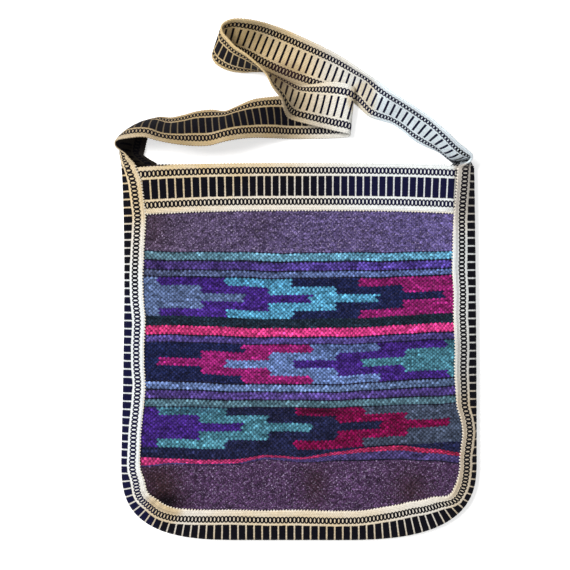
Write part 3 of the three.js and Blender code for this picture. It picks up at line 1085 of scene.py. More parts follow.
@dataclass
class FoldedSection:
    """The gusset's section: two arms joined by a round fold."""

    arm_reach: float = ARM_REACH
    back_extra: float = 1.6
    fold_radius: float = 3.0
    fold_middle: float = 6.8
    half_thickness: float = BAND_THICKNESS / 2
    arm_rise: float = 3.0
    back_bow: float = 1.15
    front_bow: float = 1.25
    fold_samples: int = 25
    arm_samples: int = 30

    def line(self, columns: Array, shift: float, lift: float) -> Array:
        """Trace the section from its back edge to its front edge.

        Args:
            columns: Places across the band from -1 to 1.
            shift: How far the band is pulled over to the front.
            lift: How far the front arm is raised at its inner edge.

        Returns:
            Inset from the outer edge and height for each column.
        """
        r = self.fold_radius
        turn = np.linspace(-math.pi / 2, math.pi / 2, self.fold_samples)
        fold_x = self.half_thickness + r - r * np.cos(turn)
        fold_z = self.fold_middle + r * np.sin(turn)
        t = np.linspace(0, 1, self.arm_samples)
        back_end = self.arm_reach + self.back_extra - shift
        back_x = back_end + (fold_x[0] - back_end) * t
        back_z = fold_z[0] - self.arm_rise * (1 - t) ** self.back_bow
        front_x = fold_x[-1] + (self.arm_reach + shift - fold_x[-1]) * t
        front_z = fold_z[-1] + (self.arm_rise + lift) * (1 - (1 - t) ** (self.front_bow + lift))
        back = np.stack([back_x, back_z], 1)
        front = np.stack([front_x, front_z], 1)
        line = np.concatenate([back[:-1], np.stack([fold_x, fold_z], 1), front[1:]])
        length = lengths(line)
        return read_line((columns + 1) / 2 * length[-1], length, line)


@dataclass
class Gusset:
    """The band folded round the sides and the bottom, sewn to both panels.

    Its seam line is where the front edge lies on the floor plan. Its pattern drift is how far the pattern
    lies outwards of the band's middle, by length from the left end.
    """

    edge: BagEdge
    band: WovenBand
    section: FoldedSection = field(default_factory=FoldedSection)
    below_mouth: float = 4.0
    mouth_lift: float = 1.7
    lift_ramp: Pair = (125.0, 150.0)
    pucker: float = 0.5
    pucker_pitch: float = 12.5
    pucker_ramp: Pair = (0.004, 0.014)
    stretch: float = 1.06
    shift_evened: int = 6
    bend_evened: int = 12
    pattern_drift: tuple[Pair, ...] = (
        (0, 0), (30, -0.3), (110, -0.1), (170, -0.6), (285, -1.2), (315, 0.5), (370, 2.8), (410, 1.3),
        (450, 0.8), (530, 1.8), (590, 1.2), (670, 1.6), (690, 0.3), (715, 0.3), (735, -1.2),
        (770, -0.9), (800, -0.3), (830, 0.5), (950, 1.3), (975, 0.5), (1000, -0.9), (1037, -0.4),
    )
    seam_line: tuple[Pair, ...] = (
        (-163.3, 187), (-158.6, 177), (-156.6, 170), (-152.9, 136), (-155.4, 100), (-156.5, 76),
        (-156.2, 52), (-154.1, 32), (-155.7, 6), (-155.7, -14), (-154, -32), (-155.6, -52),
        (-158.6, -80), (-159.6, -106.5), (-159, -117.5), (-154.8, -127.2), (-151.7, -140.5),
        (-143.2, -146.6), (-134.7, -152.6), (-123.7, -156.4), (-111.6, -157.6), (-92.2, -158.2),
        (-68, -158.2), (-31.4, -158.8), (1, -158.2), (37.5, -159.4), (61.8, -159), (86, -155.2),
        (110.2, -150), (134.6, -144.8), (150.3, -143.6), (155.3, -135.7), (159, -126), (161.4, -113.9),
        (160.8, -106.5), (162.6, -94.3), (164.4, -80), (162.3, -66.5), (158.1, -54.2), (157.1, -38),
        (155.9, -20), (156.5, 8), (154.9, 36), (155.3, 60), (153.7, 84), (155.2, 132), (157.6, 159),
        (159.5, 186),
    )

    @property
    def top(self) -> float:
        """Where both ends stop on the floor plan."""
        return self.edge.mouth - self.below_mouth

    def front_shift(self, index: Array) -> Array:
        """How far the band is pulled over to the front, at some of the edge's even samples."""
        cover, knots = self.edge.closest(np.array(self.seam_line))
        return np.interp(index, knots, cover) - self.section.arm_reach

    def middle(self) -> tuple[Array, Array]:
        """Lay out the gusset's middle surface from its right end to its left end.

        Returns:
            The surface, and the length along the unstretched band of every row, ending at nought.
        """
        _, length = self.edge.trace(self.top)
        rows = self.band.rows(length[-1])
        line, outward, total = self.edge.even(self.top, rows)
        columns = self.band.columns()
        shift = even_out(self.front_shift(self.edge.closest(line)[1]), self.shift_evened)
        lift = self.mouth_lift * smooth(*self.lift_ramp, line[:, 1])
        bend = np.abs(np.gradient(np.unwrap(np.arctan2(outward[:, 1], outward[:, 0]))))
        run = np.linspace(0, total, rows)
        puckered = self.pucker * smooth(*self.pucker_ramp, even_out(bend, self.bend_evened))
        wave = puckered * np.sin(run * math.tau / self.pucker_pitch)
        surface = np.empty((rows, len(columns), 3))
        for row in range(rows):
            inset, height = self.section.line(columns, shift[row], lift[row]).T
            surface[row, :, :2] = line[row] - outward[row] * inset[:, None]
            surface[row, :, 2] = height + wave[row] * np.clip(columns, 0, 1) ** 2
        return surface[::-1], -run[::-1] / self.stretch

    def ends(self) -> tuple[Array, Array]:
        """The folded sections at the left and the right end of the mouth."""
        surface, _ = self.middle()
        return surface[-1], surface[0]

    def make(self) -> tuple[bpy.types.Object, list[SewnEdge]]:
        """Build the gusset.

        Returns:
            The gusset and its two sewn edges.
        """
        surface, run = self.middle()
        along = np.repeat(run[:, None], surface.shape[1], axis=1)
        places, shifts = np.array(self.pattern_drift).T
        drift = np.interp(-run * self.stretch, places, shifts)[:, None]
        mesh = self.band.mesh(surface, along, self.band.across(len(run)), drift)
        made = mesh.make("gusset", self.band.materials)
        return made, [self.band.edge_line(surface, column) for column in (-1, 0)]


@dataclass
class ShoulderStrap:
    """The band going on above the mouth as a strap, laid in one loose loop.

    Each station is the strap's back edge x, y, z, its front edge x, y, z and its bow towards the patterned
    face. x is from the bag's middle, y is above the mouth and z is above the floor. Before the first
    station the strap opens out of the gusset's fold: each opening fold is its height above the mouth, its
    distance from the bag's middle, the reach of its front and back arm and its radius.
    """

    gusset: Gusset
    band: WovenBand
    seam_gap: float = 0.3
    relax: float = 25.0
    end_hold: float = 1e3
    stretch: float = 0.93
    fold_seat: float = 3.8
    fold_lift: float = 2.0
    samples: int = 6000
    opening_folds: tuple[tuple[float, ...], ...] = (
        (0.5, 178.2, 13.4, 35.0, 3.2),
        (5.0, 178.8, 9.6, 28.0, 4.5),
        (9.3, 179.6, 6.6, 23.0, 6.0),
    )
    stations: tuple[tuple[float, ...], ...] = (
        (-156, 11, 1.6, -180.5, 15, 22, 12),
        (-153.5, 22, 1.6, -182, 19.3, 26, 10.5),
        (-150, 34, 2, -178.5, 22, 30, 8),
        (-147, 43, 2.5, -168, 23.2, 36, 6),
        (-140, 46.8, 2.5, -153, 24, 40, 3.5),
        (-128, 46.6, 1.5, -139, 20.5, 38, 1),
        (-115, 49.5, 1, -123, 17.8, 33.5, 1.5),
        (-102, 53, 0.9, -105, 16.4, 27, 4),
        (-88, 54.6, 0.9, -89, 16.8, 26.5, 3.5),
        (-74, 53.2, 0.9, -74, 20.3, 30.5, 5),
        (-63, 57.6, 0.9, -62, 22.8, 28, 5),
        (-47, 64.6, 0.9, -47, 24.8, 22, 3),
        (-29, 67.3, 0.9, -28, 25.6, 12, 5),
        (-12, 68.8, 1.2, -12, 25.8, 4, 4),
        (3, 70, 2.2, 3, 25.8, 1.4, 2),
        (25, 71, 4.6, 26, 26.2, 1.3, 0.5),
        (42, 72, 6.6, 41, 26.8, 1.4, 0),
        (52, 74, 8.8, 49, 27.6, 3, 0),
        (55, 75, 11.8, 51, 28.4, 6, 0),
        (50, 78, 14.8, 49, 30, 9, 0),
        (42, 80, 14.8, 40, 32, 10, 0),
        (32, 81, 12.6, 27, 35, 11, 0),
        (24, 80.5, 10.6, 8, 39, 18, 0),
        (16, 79.5, 8.6, -10, 44, 25, 0),
        (3, 79, 6, -15, 51, 38, 0),
        (-10, 84, 4.6, -18, 61, 43, 0),
        (-21, 88.5, 4.2, -26, 72, 46, 0),
        (-33, 92.5, 4, -32, 84, 47, 0),
        (-46, 93, 3, -43, 96, 47, 0),
        (-56, 92.5, 1.6, -52, 104, 46, 0),
        (-69, 94, 1, -63, 112, 43, 0),
        (-79, 98, 1, -70, 120, 41, 0),
        (-85, 103, 1, -75, 126, 40, 0),
        (-87, 110, 1, -76, 132, 40, 0),
        (-83, 115, 1.5, -73, 136, 41, 0),
        (-75, 116.5, 1.5, -65, 139, 41, 0),
        (-61, 110.5, 1.2, -51, 139.4, 37, 0),
        (-52, 104.5, 1, -40, 138.4, 31, 2),
        (-42, 97.5, 0.9, -28, 136.3, 24, 4),
        (-28, 90, 0.9, -11.5, 131.2, 18.5, 5),
        (-10.7, 82.8, 0.9, 6.2, 123.4, 18, 5),
        (7, 77, 0.9, 23.8, 115, 18.5, 5),
        (24, 72, 0.9, 41.4, 105.4, 20, 5),
        (39, 67, 0.9, 55.6, 95.2, 25, 5),
        (55, 62, 0.9, 68, 85.2, 33, 4),
        (71, 48, 0.9, 80, 77, 35, 0),
        (83, 44, 0.9, 90, 68.5, 39.8, 0),
        (93, 41, 0.9, 100, 61.5, 41.5, 0),
        (104, 34, 0.9, 110, 55, 42, 0),
        (114, 25.5, 0.9, 120, 48.5, 42, 0),
        (124, 19.5, 0.9, 130, 41.2, 42.5, 0),
        (133, 15.7, 1, 138, 34, 43.5, -1),
        (140.5, 12.5, 1, 147, 26.5, 41, -3),
        (146, 8.5, 1.2, 156.5, 18.5, 34, -4),
        (150.5, 5, 1.3, 165.5, 12.5, 28, -4),
        (153.5, 2.3, 1.4, 171.5, 7.5, 24, 0),
        (154.5, 0.5, 1.4, 169.5, 1.5, 18.5, 9),
    )

    @staticmethod
    def through(points: Array, knots: Array, at: Array) -> Array:
        """Run a smooth curve through points.

        Args:
            points: Values at the knots, any shape after the first axis.
            knots: Rising positions.
            at: Where to read the curve.

        Returns:
            Values on the curve.
        """
        gap = np.diff(knots)
        shape = (-1,) + (1,) * (points.ndim - 1)
        slope = np.diff(points, axis=0) / gap.reshape(shape)
        before, after = gap[:-1].reshape(shape), gap[1:].reshape(shape)
        inner = (slope[1:] * before + slope[:-1] * after) / (before + after)
        tangent = np.concatenate([slope[:1], inner, slope[-1:]])
        span = np.clip(np.searchsorted(knots, at, "right") - 1, 0, len(gap) - 1)
        h = gap[span].reshape(shape)
        t = ((at - knots[span]) / gap[span]).reshape(shape)
        start, end = points[span], points[span + 1]
        bend_start, bend_end = tangent[span] * h, tangent[span + 1] * h
        t2, t3 = t * t, t * t * t
        return (
            start * (2 * t3 - 3 * t2 + 1)
            + bend_start * (t3 - 2 * t2 + t)
            + end * (3 * t2 - 2 * t3)
            + bend_end * (t3 - t2)
        )

    def fold_lines(self) -> Array:
        """The strap's first lines, folded as the gusset is and opening as they rise.

        Returns:
            Lines by columns by three.
        """
        lines = []
        for up, out, front, back, radius in self.opening_folds:
            section = FoldedSection(front, back - front, radius, radius + self.fold_seat)
            inset, height = section.line(self.band.columns(), 0.0, self.fold_lift).T
            level = np.full_like(inset, self.gusset.edge.mouth + up)
            lines.append(np.stack([inset - out, level, height], 1))
        return np.stack(lines)

    def lines(self) -> Array:
        """Crosswise lines of the strap, from the gusset's left end to its right end.

        Returns:
            Lines by columns by three.
        """
        table = np.array(self.stations, float)
        columns = self.band.columns()
        lift = np.array([0, self.gusset.edge.mouth, 0])
        back, front = table[:, :3] + lift, table[:, 3:6] + lift
        centre = np.concatenate([back[:1] + front[:1], back + front, back[-1:] + front[-1:]])
        along = centre[2:] - centre[:-2]
        face = unit(np.cross(front - back, along))
        t = ((columns + 1) / 2)[None, :, None]
        bow = table[:, 6][:, None, None] * (1 - columns**2)[None, :, None]
        inner = back[:, None] * (1 - t) + front[:, None] * t + face[:, None] * bow
        step = np.array([0, self.seam_gap, 0])
        start, finish = (line + step for line in self.gusset.ends())
        return np.concatenate([start[None], self.fold_lines(), inner, finish[None]])

    def middle(self) -> tuple[Array, Array, Array]:
        """Lay out the strap's middle surface.

        Returns:
            The surface, the length along the band at every point and the distance across.
        """
        lines = self.lines()
        columns = self.band.columns()
        centre = lines[:, len(columns) // 2]
        knots = lengths(centre, 0.5)
        fine = np.linspace(0, knots[-1], self.samples)
        length = lengths(self.through(centre, knots, fine))
        rows = self.band.rows(length[-1])
        run = np.linspace(0, length[-1], rows)
        surface = self.through(lines, knots, np.interp(run, length, fine))
        surface[..., 2] = np.maximum(surface[..., 2], BAND_THICKNESS / 2)
        return surface, self.pattern_length(surface, run, columns), self.band.across(rows)

    def pattern_length(self, surface: Array, run: Array, columns: Array) -> Array:
        """Follow the cloth's own length, so that bars keep their spacing on both edges of a turn.

        Args:
            surface: The strap's middle surface.
            run: Length along its middle line.
            columns: Places across it.

        Returns:
            Length along the band at every point, in step with the gusset at both ends.
        """
        middle = len(columns) // 2
        core = surface[:, middle]
        heading = unit(np.gradient(core, axis=0))
        skew = ((surface - core[:, None]) * heading[:, None]).sum(-1)
        steps = np.linalg.norm(np.diff(surface, axis=0), axis=2)
        basis = np.stack([columns, columns**2], 1)
        fit = np.linalg.pinv(basis).T
        gain, square = (steps - steps[:, middle : middle + 1]) @ fit, skew @ fit
        count = len(run)
        pull = np.full(count, ((run[1] - run[0]) / self.relax) ** 2)
        pull[[0, -1]] = self.end_hold
        square[[0, -1]] = 0
        difference = np.eye(count, k=1)[:-1] - np.eye(count)[:-1]
        stiff = difference.T @ difference + np.diag(pull)
        lean = np.linalg.solve(stiff, difference.T @ gain + pull[:, None] * square)
        along = run[:, None] + lean @ basis.T
        _, edge_length = self.gusset.edge.trace(self.gusset.top)
        gone = edge_length[-1] / self.gusset.stretch
        whole = round((run[-1] / self.stretch + gone) / BAR_PITCH) * BAR_PITCH - gone
        return along * (whole / run[-1])

    def make(self) -> bpy.types.Object:
        """Build the strap."""
        return self.band.mesh(*self.middle()).make("strap", self.band.materials)


@dataclass
class MouthBand:
    """A flat length of band along one side of the mouth."""

    edge: BagEdge
    band: WovenBand
    name: str
    outward_up: bool
    height: float
    tuck: float
    arch: float = 3.4
    arch_middle: float = 10.0
    arch_reach: float = 155.0
    arch_power: float = 2.8
    ripples: tuple[Wave, ...] = (Wave(0.35, 31.0), Wave(0.25, 13.0, start=1.0))
    ripple_lift: float = 0.5
    end_dip: float = 0.0
    dip_ramp: Pair = (9.0, 1.0)
    left_stretch: float = 0.08
    stretch_from: float = -60.0
    pattern_rise: float = 0.65

    def drop(self, x: Array) -> Array:
        """How much lower the mouth lies towards its ends."""
        return self.arch * (np.abs(x - self.arch_middle) / self.arch_reach) ** self.arch_power

    def middle(self) -> tuple[Array, Array, Array]:
        """Lay out the band's middle surface.

        Returns:
            The surface, the length along the band and the distance across.
        """
        half = self.edge.width / 2
        left = -half + ARM_REACH - self.tuck
        right = half - self.edge.right_taper - ARM_REACH + self.tuck
        rows = self.band.rows(right - left)
        x = np.linspace(left, right, rows)
        across = self.band.across(rows)
        lean = np.gradient(self.drop(x), x)
        lie_x = x[:, None] + lean[:, None] * across
        lie_y = self.edge.mouth - across[0, -1] + across - self.drop(x)[:, None]
        rise = np.abs(sum(wave.over(x) for wave in self.ripples)) * self.ripple_lift
        from_end = np.minimum(x - left, right - x)
        lie_z = self.height + rise - self.end_dip * smooth(*self.dip_ramp, from_end)
        length = (x - left) - self.left_stretch * np.minimum(x - self.stretch_from, 0)
        lie_z, along = (np.repeat(row[:, None], across.shape[1], axis=1) for row in (lie_z, length))
        surface = np.stack([lie_x, lie_y, lie_z], -1)
        if self.outward_up:
            return surface[::-1], along[::-1], across
        return surface, along, across

    def make(self) -> tuple[bpy.types.Object, list[SewnEdge]]:
        """Build the band.

        Returns:
            The band and its sewn edge, away from the mouth.
        """
        surface, along, across = self.middle()
        mesh = self.band.mesh(surface, along, across, -self.pattern_rise)
        return mesh.make(self.name, self.band.materials), [self.band.edge_line(surface, 0)]


@dataclass(frozen=True)
class Stripe:
    """A weft stripe, or one row of a stepped motif: its first colour edge, its pitch and its dyes."""

    below: float
    dye: Dye
    fades_to: Optional[Dye] = None
    steps: Optional[tuple[float, float, tuple[Dye, ...]]] = None
    rows: Optional[int] = None


@dataclass(frozen=True)
class Motif:
    """A band of five rows whose colour edges step sideways and back."""

    below: float
    above_end: float
    first_edge: float
    pitch: float
    row_steps: tuple[int, ...]
    dyes: tuple[Dye, ...]
    step: float = 42.5

    def rows(self) -> list[Stripe]:
        """Split the motif into its rows.

        Returns:
            One stripe for every row.
        """
        tall = (self.above_end - self.below) / len(self.row_steps)
        edges = [self.first_edge + n * self.step for n in self.row_steps]
        return [
            Stripe(self.below + i * tall, self.dyes[0], steps=(edge, self.pitch, self.dyes))
            for i, edge in enumerate(edges)
        ]


@dataclass
class WoolPanel:
    """A weft-faced wool panel, woven row by row and sewn under the gusset."""

    edge: BagEdge
    gusset: Gusset
    name: str
    finish: WoolFinish
    thickness: float = 2.4
    seam_allowance: float = 7.0
    side_margin: float = 8.0
    row_height: float = 2.0
    pick_width: float = 4.2
    mouth_margin: float = 1.8
    pick_bulge: float = 0.5
    bulge_room: float = 0.36
    bulge_uneven: float = 0.35
    bulge_limits: Pair = (0.3, 1.3)
    edge_wander: float = 1.1
    speckle: float = 0.24
    uneven: float = 0.18
    uneven_pitch: float = 11.0
    uneven_shift: float = 3.0
    uneven_heather: float = 0.5
    plain_flecks: float = 0.1
    # How far spots brown the heather, some as painted shade in hollows, and how far they hide its flecks.
    browning_depth: float = 0.7
    browned_flecks: float = 0.75
    spot_tint: float = 3.0
    length: float = 377.0
    seed: int = 11
    # Spots that brown the heather and spots that darken or lighten stripes; some of both are painted shade
    # in hollows.
    shade_and_browning: tuple[Spot, ...] = ()
    blots_and_shade: tuple[Spot, ...] = ()

    def stripes(self) -> list[Stripe]:
        """The stripes from the mouth down."""
        raise NotImplementedError

    def lie(self, x: Array, below: Array) -> Array:
        """Where a weft row lies below the mouth."""
        return below + 0.0 * x

    def reach(self, index: Array) -> Array:
        """How far the gusset's arm covers the panel."""
        return self.gusset.section.arm_reach + self.gusset.front_shift(index)

    def heights(self, plan: Array, inset: Array, reach: Array) -> Array:
        """Height of the upper face."""
        raise NotImplementedError

    def row_plan(self) -> tuple[Array, list[Stripe]]:
        """Divide each stripe into whole weft rows.

        Returns:
            The rows' limits below the mouth, and the stripe of each row.
        """
        stripes = self.stripes()
        limits = [self.mouth_margin]
        owners: list[Stripe] = []
        for i, stripe in enumerate(stripes):
            end = stripes[i + 1].below if i + 1 < len(stripes) else self.length
            start = limits[-1]
            count = stripe.rows or max(1, round((end - start) / self.row_height))
            limits += list(start + (end - start) * (np.arange(count) + 1) / count)
            owners += [stripe] * count
        return np.array(limits), owners

    def yarn(self, owners: list[Stripe], x: Array, lie: Array) -> Array:
        """Choose the colour of every pick.

        Args:
            owners: The stripe of each row.
            x: Middle of each mesh column.
            lie: How far below the mouth each cell is.

        Returns:
            Linear colours and the share of flecks, rows by columns by four.
        """
        chance = np.random.default_rng(self.seed)
        picks = int(np.ceil((x[-1] - x[0]) / self.pick_width)) + 3
        colours = np.empty((len(owners), len(x), 4))
        share = np.clip((x - x[0]) / (x[-1] - x[0]), 0, 1)[:, None]
        knots = np.arange(x[0] - 20, x[-1] + 40, self.uneven_pitch)
        for row, stripe in enumerate(owners):
            shift = 0.5 * (row % 2)
            pick = np.floor(x / self.pick_width + shift).astype(int)
            base = np.repeat(np.array([stripe.dye.light]), len(x), axis=0)
            if stripe.fades_to:
                base = base + (np.array([stripe.fades_to.light]) - base) * share
            if stripe.steps:
                first, pitch, dyes = stripe.steps
                first = first + chance.normal(0, self.edge_wander)
                centre = (pick + 0.5 - shift) * self.pick_width
                steps = np.floor((centre - first) / pitch).astype(int) + 1
                base = np.array([dye.light for dye in dyes])[np.clip(steps, 0, len(dyes) - 1)]
            heather = stripe.dye in (Dye.MAUVE, Dye.BROWN_MAUVE)
            speckle = chance.normal(0, self.speckle, picks)[pick - pick.min()]
            shifted = knots + chance.uniform(-self.uneven_shift, self.uneven_shift)
            uneven = np.interp(x, shifted, chance.normal(0, self.uneven, len(knots)))
            uneven = uneven * (self.uneven_heather if heather else 1.0)
            colours[row, :, :3] = base * np.exp(speckle + uneven)[:, None]
            colours[row, :, 3] = 1.0 if heather else self.plain_flecks
        self._spot_tones(colours, x[None], lie)
        return np.clip(colours, 0.0, 1.0)

    def _spot_tones(self, colours: Array, x: Array, lie: Array) -> None:
        """Brown the heather and darken or lighten stripes at spots, some of them painted shade in hollows.

        Args:
            colours: Colours and shares of flecks, changed in place.
            x: Middle of each mesh column.
            lie: How far below the mouth each cell is.
        """
        dyed, flecks = colours[..., :3], colours[..., 3:]
        shade_brown, wine = np.array(Dye.SHADE_BROWN.light), np.array(Dye.WINE.light)
        heather = flecks > 0.5
        for spot in self.shade_and_browning:
            near = spread(spot, x, lie)[..., None] * heather
            dyed += (shade_brown * self.browning_depth - dyed) * near
            flecks *= 1 - self.browned_flecks * near
        for spot in self.blots_and_shade:
            dyed += (dyed * wine * self.spot_tint - dyed) * spread(spot, x, lie)[..., None]

    def bulges(self, grid_x: Array, limits: Array) -> Array:
        """How far each plump pick pushes the edge of its row into the next row.

        Args:
            grid_x: Places of the mesh points across the panel, rows by columns.
            limits: The rows' limits below the mouth.

        Returns:
            Shifts away from the mouth.
        """
        tall = np.diff(limits)
        room = np.minimum(np.append(tall, tall[-1]), np.insert(tall, 0, tall[0]))
        most = np.minimum(self.pick_bulge, room * self.bulge_room)[:, None]
        turn = np.cos(math.pi * np.arange(len(limits)))[:, None]
        uneven = np.random.default_rng(self.seed + 1).normal(1.0, self.bulge_uneven, grid_x.shape)
        uneven = np.clip(uneven, *self.bulge_limits)
        return most * turn * np.cos(math.tau * grid_x / self.pick_width) * uneven

    def make(self) -> bpy.types.Object:
        """Weave the panel.

        Returns:
            The panel.
        """
        step = self.pick_width / 2
        count = math.ceil((self.edge.width / 2 - self.side_margin) / step)
        x = np.arange(-count, count + 1) * step
        limits, owners = self.row_plan()
        grid_x, grid_below = np.meshgrid(x, limits)
        lie = self.lie(grid_x, grid_below) + self.bulges(grid_x, limits)
        plan = np.stack([grid_x.ravel(), (self.edge.mouth - lie).ravel()], 1)
        inset, index = self.edge.closest(plan)
        reach = self.reach(index)
        top = self.heights(plan, inset, reach)
        inside = (inset > reach - self.seam_allowance).reshape(grid_x.shape)
        kept = inside[:-1, :-1] & inside[:-1, 1:] & inside[1:, :-1] & inside[1:, 1:]
        cell_lie = (lie[:-1, :-1] + lie[1:, 1:]) / 2
        colours = self.yarn(owners, (x[:-1] + x[1:]) / 2, cell_lie)
        rows = np.repeat(np.arange(len(limits), dtype=float)[:, None], len(x), axis=1)
        weave = np.stack([grid_x / self.pick_width, rows], -1).reshape(-1, 2)
        mesh = self.closed_sheet(plan, top, kept, weave, colours)
        return mesh.make(self.name, [self.finish.material()])

    def closed_sheet(self, plan: Array, top: Array, kept: Array, weave: Array, colours: Array) -> ClothMesh:
        """Give the kept cells of a grid a thickness.

        Args:
            plan: Grid points on the floor plan.
            top: Their heights.
            kept: Which cells belong to the panel.
            weave: Weave coordinates of the grid points.
            colours: Colour of every cell.

        Returns:
            The closed mesh.
        """
        rows, cols = kept.shape
        index = np.arange((rows + 1) * (cols + 1)).reshape(rows + 1, cols + 1)
        tops = [index[:-1, :-1], index[1:, :-1], index[1:, 1:], index[:-1, 1:]]
        lows = [corner + index.size for corner in tops]
        quads = [np.stack(tops, -1)[kept], np.stack(lows[:1] + lows[:0:-1], -1)[kept]]
        dyed = [colours[kept], colours[kept]]
        around = np.pad(kept, 1)
        for k, (down, over) in enumerate([(0, -1), (1, 0), (0, 1), (-1, 0)]):
            beside = around[1 + down : 1 + down + rows, 1 + over : 1 + over + cols]
            open_edge = kept & ~beside
            after = (k + 1) % 4
            quads.append(np.stack([tops[after], tops[k], lows[k], lows[after]], -1)[open_edge])
            dyed.append(colours[open_edge])
        quads = np.concatenate(quads)
        used, flat = np.unique(quads, return_inverse=True)
        points = np.concatenate([np.column_stack([plan, level]) for level in (top, top - self.thickness)])
        corners = np.concatenate([weave, weave])[quads].reshape(-1, 2)
        return ClothMesh(points[used], flat.reshape(-1, 4), corners, np.concatenate(dyed))


@dataclass
class FrontPanel(WoolPanel):
    """The tapestry front, with stripes and three bands of stepped motifs.

    Each weft line is a row's woven place below the mouth, then where it lies below it at each weft knot.
    """

    face_height: float = 11.7
    seam_drop: float = 1.9
    drop_ramp: Pair = (2.0, -7.0)
    calm_ramp: Pair = (1.0, 12.0)
    calm_below: Pair = (40.0, 60.0)
    swells: tuple[Wave, ...] = (Wave(0.35, 23.0, 41.0), Wave(0.3, -57.0, 19.0))
    ripples: tuple[Wave, ...] = (Wave(0.35, 17.0, 40.0), Wave(0.25, 8.5, 23.0))
    ripples_from: float = 60.0
    # Spots where the heather turns brown: painted shade in the hollows near the bottom, and browner patches
    # in the mauve below the mouth.
    shade_and_browning: tuple[Spot, ...] = (
        (-136, 326, 22, 22, 0.95), (-148, 312, 26, 14, 0.7), (-134, 337, 19, 9, 0.9),
        (16, 322, 15, 26, 0.75), (112, 326, 22, 22, 0.8), (-146, 60, 14, 26, 0.5),
        (-40, 60, 18, 22, 0.25), (60, 72, 24, 12, 0.2),
    )
    # Spots that darken or lighten the stripes: uneven dye in the purple stripe, painted shade in the lower
    # left hollow, and darker or lighter rows and fields elsewhere.
    blots_and_shade: tuple[Spot, ...] = (
        (-139, 101.5, 7, 3.5, 0.7), (-84, 102.5, 5, 3.5, 0.75), (-49, 103, 4.5, 3.5, 0.75),
        (-21, 103.2, 4, 3.5, 0.65), (22, 103, 6, 3.5, 0.65), (54, 102.7, 5, 3.5, 0.7),
        (80, 102.4, 4.5, 3.5, 0.7), (112, 102, 6, 3.5, 0.75), (-112, 117, 34, 3.5, 0.35),
        (-40, 119, 34, 3.5, 0.35), (92, 117.5, 30, 3.5, 0.25), (58, 184.5, 25, 3.8, 0.6),
        (20, 185, 14, 4, 0.35), (-46, 203, 20, 5, -0.3), (132, 177, 36, 4, 0.4),
        (-106, 148, 28, 5, -0.35), (-100, 281, 30, 5, -0.25), (128, 229, 36, 4, 0.25),
        (-122, 229, 30, 4, 0.3), (22, 248, 34, 4, 0.85), (-110, 247, 34, 4, 0.55),
        (-132, 339, 11, 8, 0.75), (-134, 337, 18, 8, 0.92), (-4, 94, 50, 4, -0.15),
        (-4, 112, 50, 4, -0.3), (-46, 134, 16, 9, -0.2), (-4, 170, 45, 4, -0.3), (-4, 226, 50, 4, -0.5),
        (-4, 234, 45, 4, -0.3),
    )
    hollows: tuple[Spot, ...] = (
        (-139, -138, 20, 18, -2.6), (-92, -132, 26, 20, 0.9), (16, -134, 22, 24, -1.8),
        (111, -136, 20, 22, -1.8), (-20, -122, 60, 14, 0.8), (60, -128, 26, 22, 0.9),
        (-60, 60, 70, 50, 0.8), (80, 10, 60, 70, 0.9), (-100, -30, 40, 60, -0.6),
    )
    weft_knots: tuple[float, ...] = (-154, -127, -99, -64, -34, 1, 37, 71, 104, 134, 159)
    weft_lines: tuple[tuple[float, tuple[float, ...]], ...] = (
        (0, (3, 1.5, 0.8, 0.3, 0, 0, 0, 0.1, 0.5, 1.3, 2.5)),
        (90, (88, 88.5, 88.9, 89.3, 89.8, 90, 89.9, 89.6, 89.1, 88.6, 88.2)),
        (115.5, (113.1, 113.5, 114.1, 114.8, 115.3, 115.5, 115.2, 114.5, 113.7, 112.7, 112)),
        (155.5, (151.5, 152, 153, 154.3, 155.1, 155.5, 155, 153.7, 152.1, 150.3, 149)),
        (181.5, (178.5, 179, 179.8, 180.7, 181.2, 181.5, 181, 179.9, 178.4, 176.7, 175.5)),
        (220.5, (216.5, 217, 218, 219.3, 220.1, 220.5, 219.9, 218.3, 216.2, 213.9, 212.1)),
        (244.5, (244, 244, 244.1, 244.3, 244.4, 244.5, 244.1, 243.2, 242.1, 240.8, 239.7)),
        (265, (262.3, 262.5, 262.8, 263.2, 263.5, 263.5, 263.2, 261.4, 259.8, 258.5, 257.4)),
        (285.5, (283.5, 283.9, 284.5, 285.1, 285.5, 285.5, 285.2, 282.5, 280.5, 279.1, 278)),
        (293.3, (293.7, 295.3, 295.5, 296, 291.4, 293.3, 288.5, 283.7, 281.5, 285, 289)),
        (295.3, (302, 299.3, 299.5, 300, 293.6, 295.3, 291.5, 288.1, 286.5, 289.5, 292.5)),
        (298.5, (303.5, 300.8, 300.8, 301.3, 296.1, 298.5, 298, 297.3, 296, 297.5, 300.5)),
        (345, (345,) * 11),
        (378, (378,) * 11),
    )
    motifs: tuple[Motif, ...] = (
        Motif(
            115.5, 155.5, -140.0, 67.0, (0, 1, 2, 1, 0),
            (Dye.SLATE, Dye.DEEP_PURPLE, Dye.TEAL, Dye.NAVY, Dye.MAGENTA),
        ),
        Motif(
            181.5, 220.5, -141.0, 68.0, (2, 1, 0, 1, 2),
            (Dye.NAVY, Dye.MAGENTA, Dye.LIGHT_BLUE, Dye.DEEP_PURPLE, Dye.SEA_GREEN),
        ),
        Motif(
            244.5, 285.5, -142.0, 69.0, (0, 1, 2, 1, 0),
            (Dye.DEEP_PURPLE, Dye.SEA_GREEN, Dye.MIDNIGHT, Dye.CRIMSON, Dye.SLATE_GREY),
        ),
    )

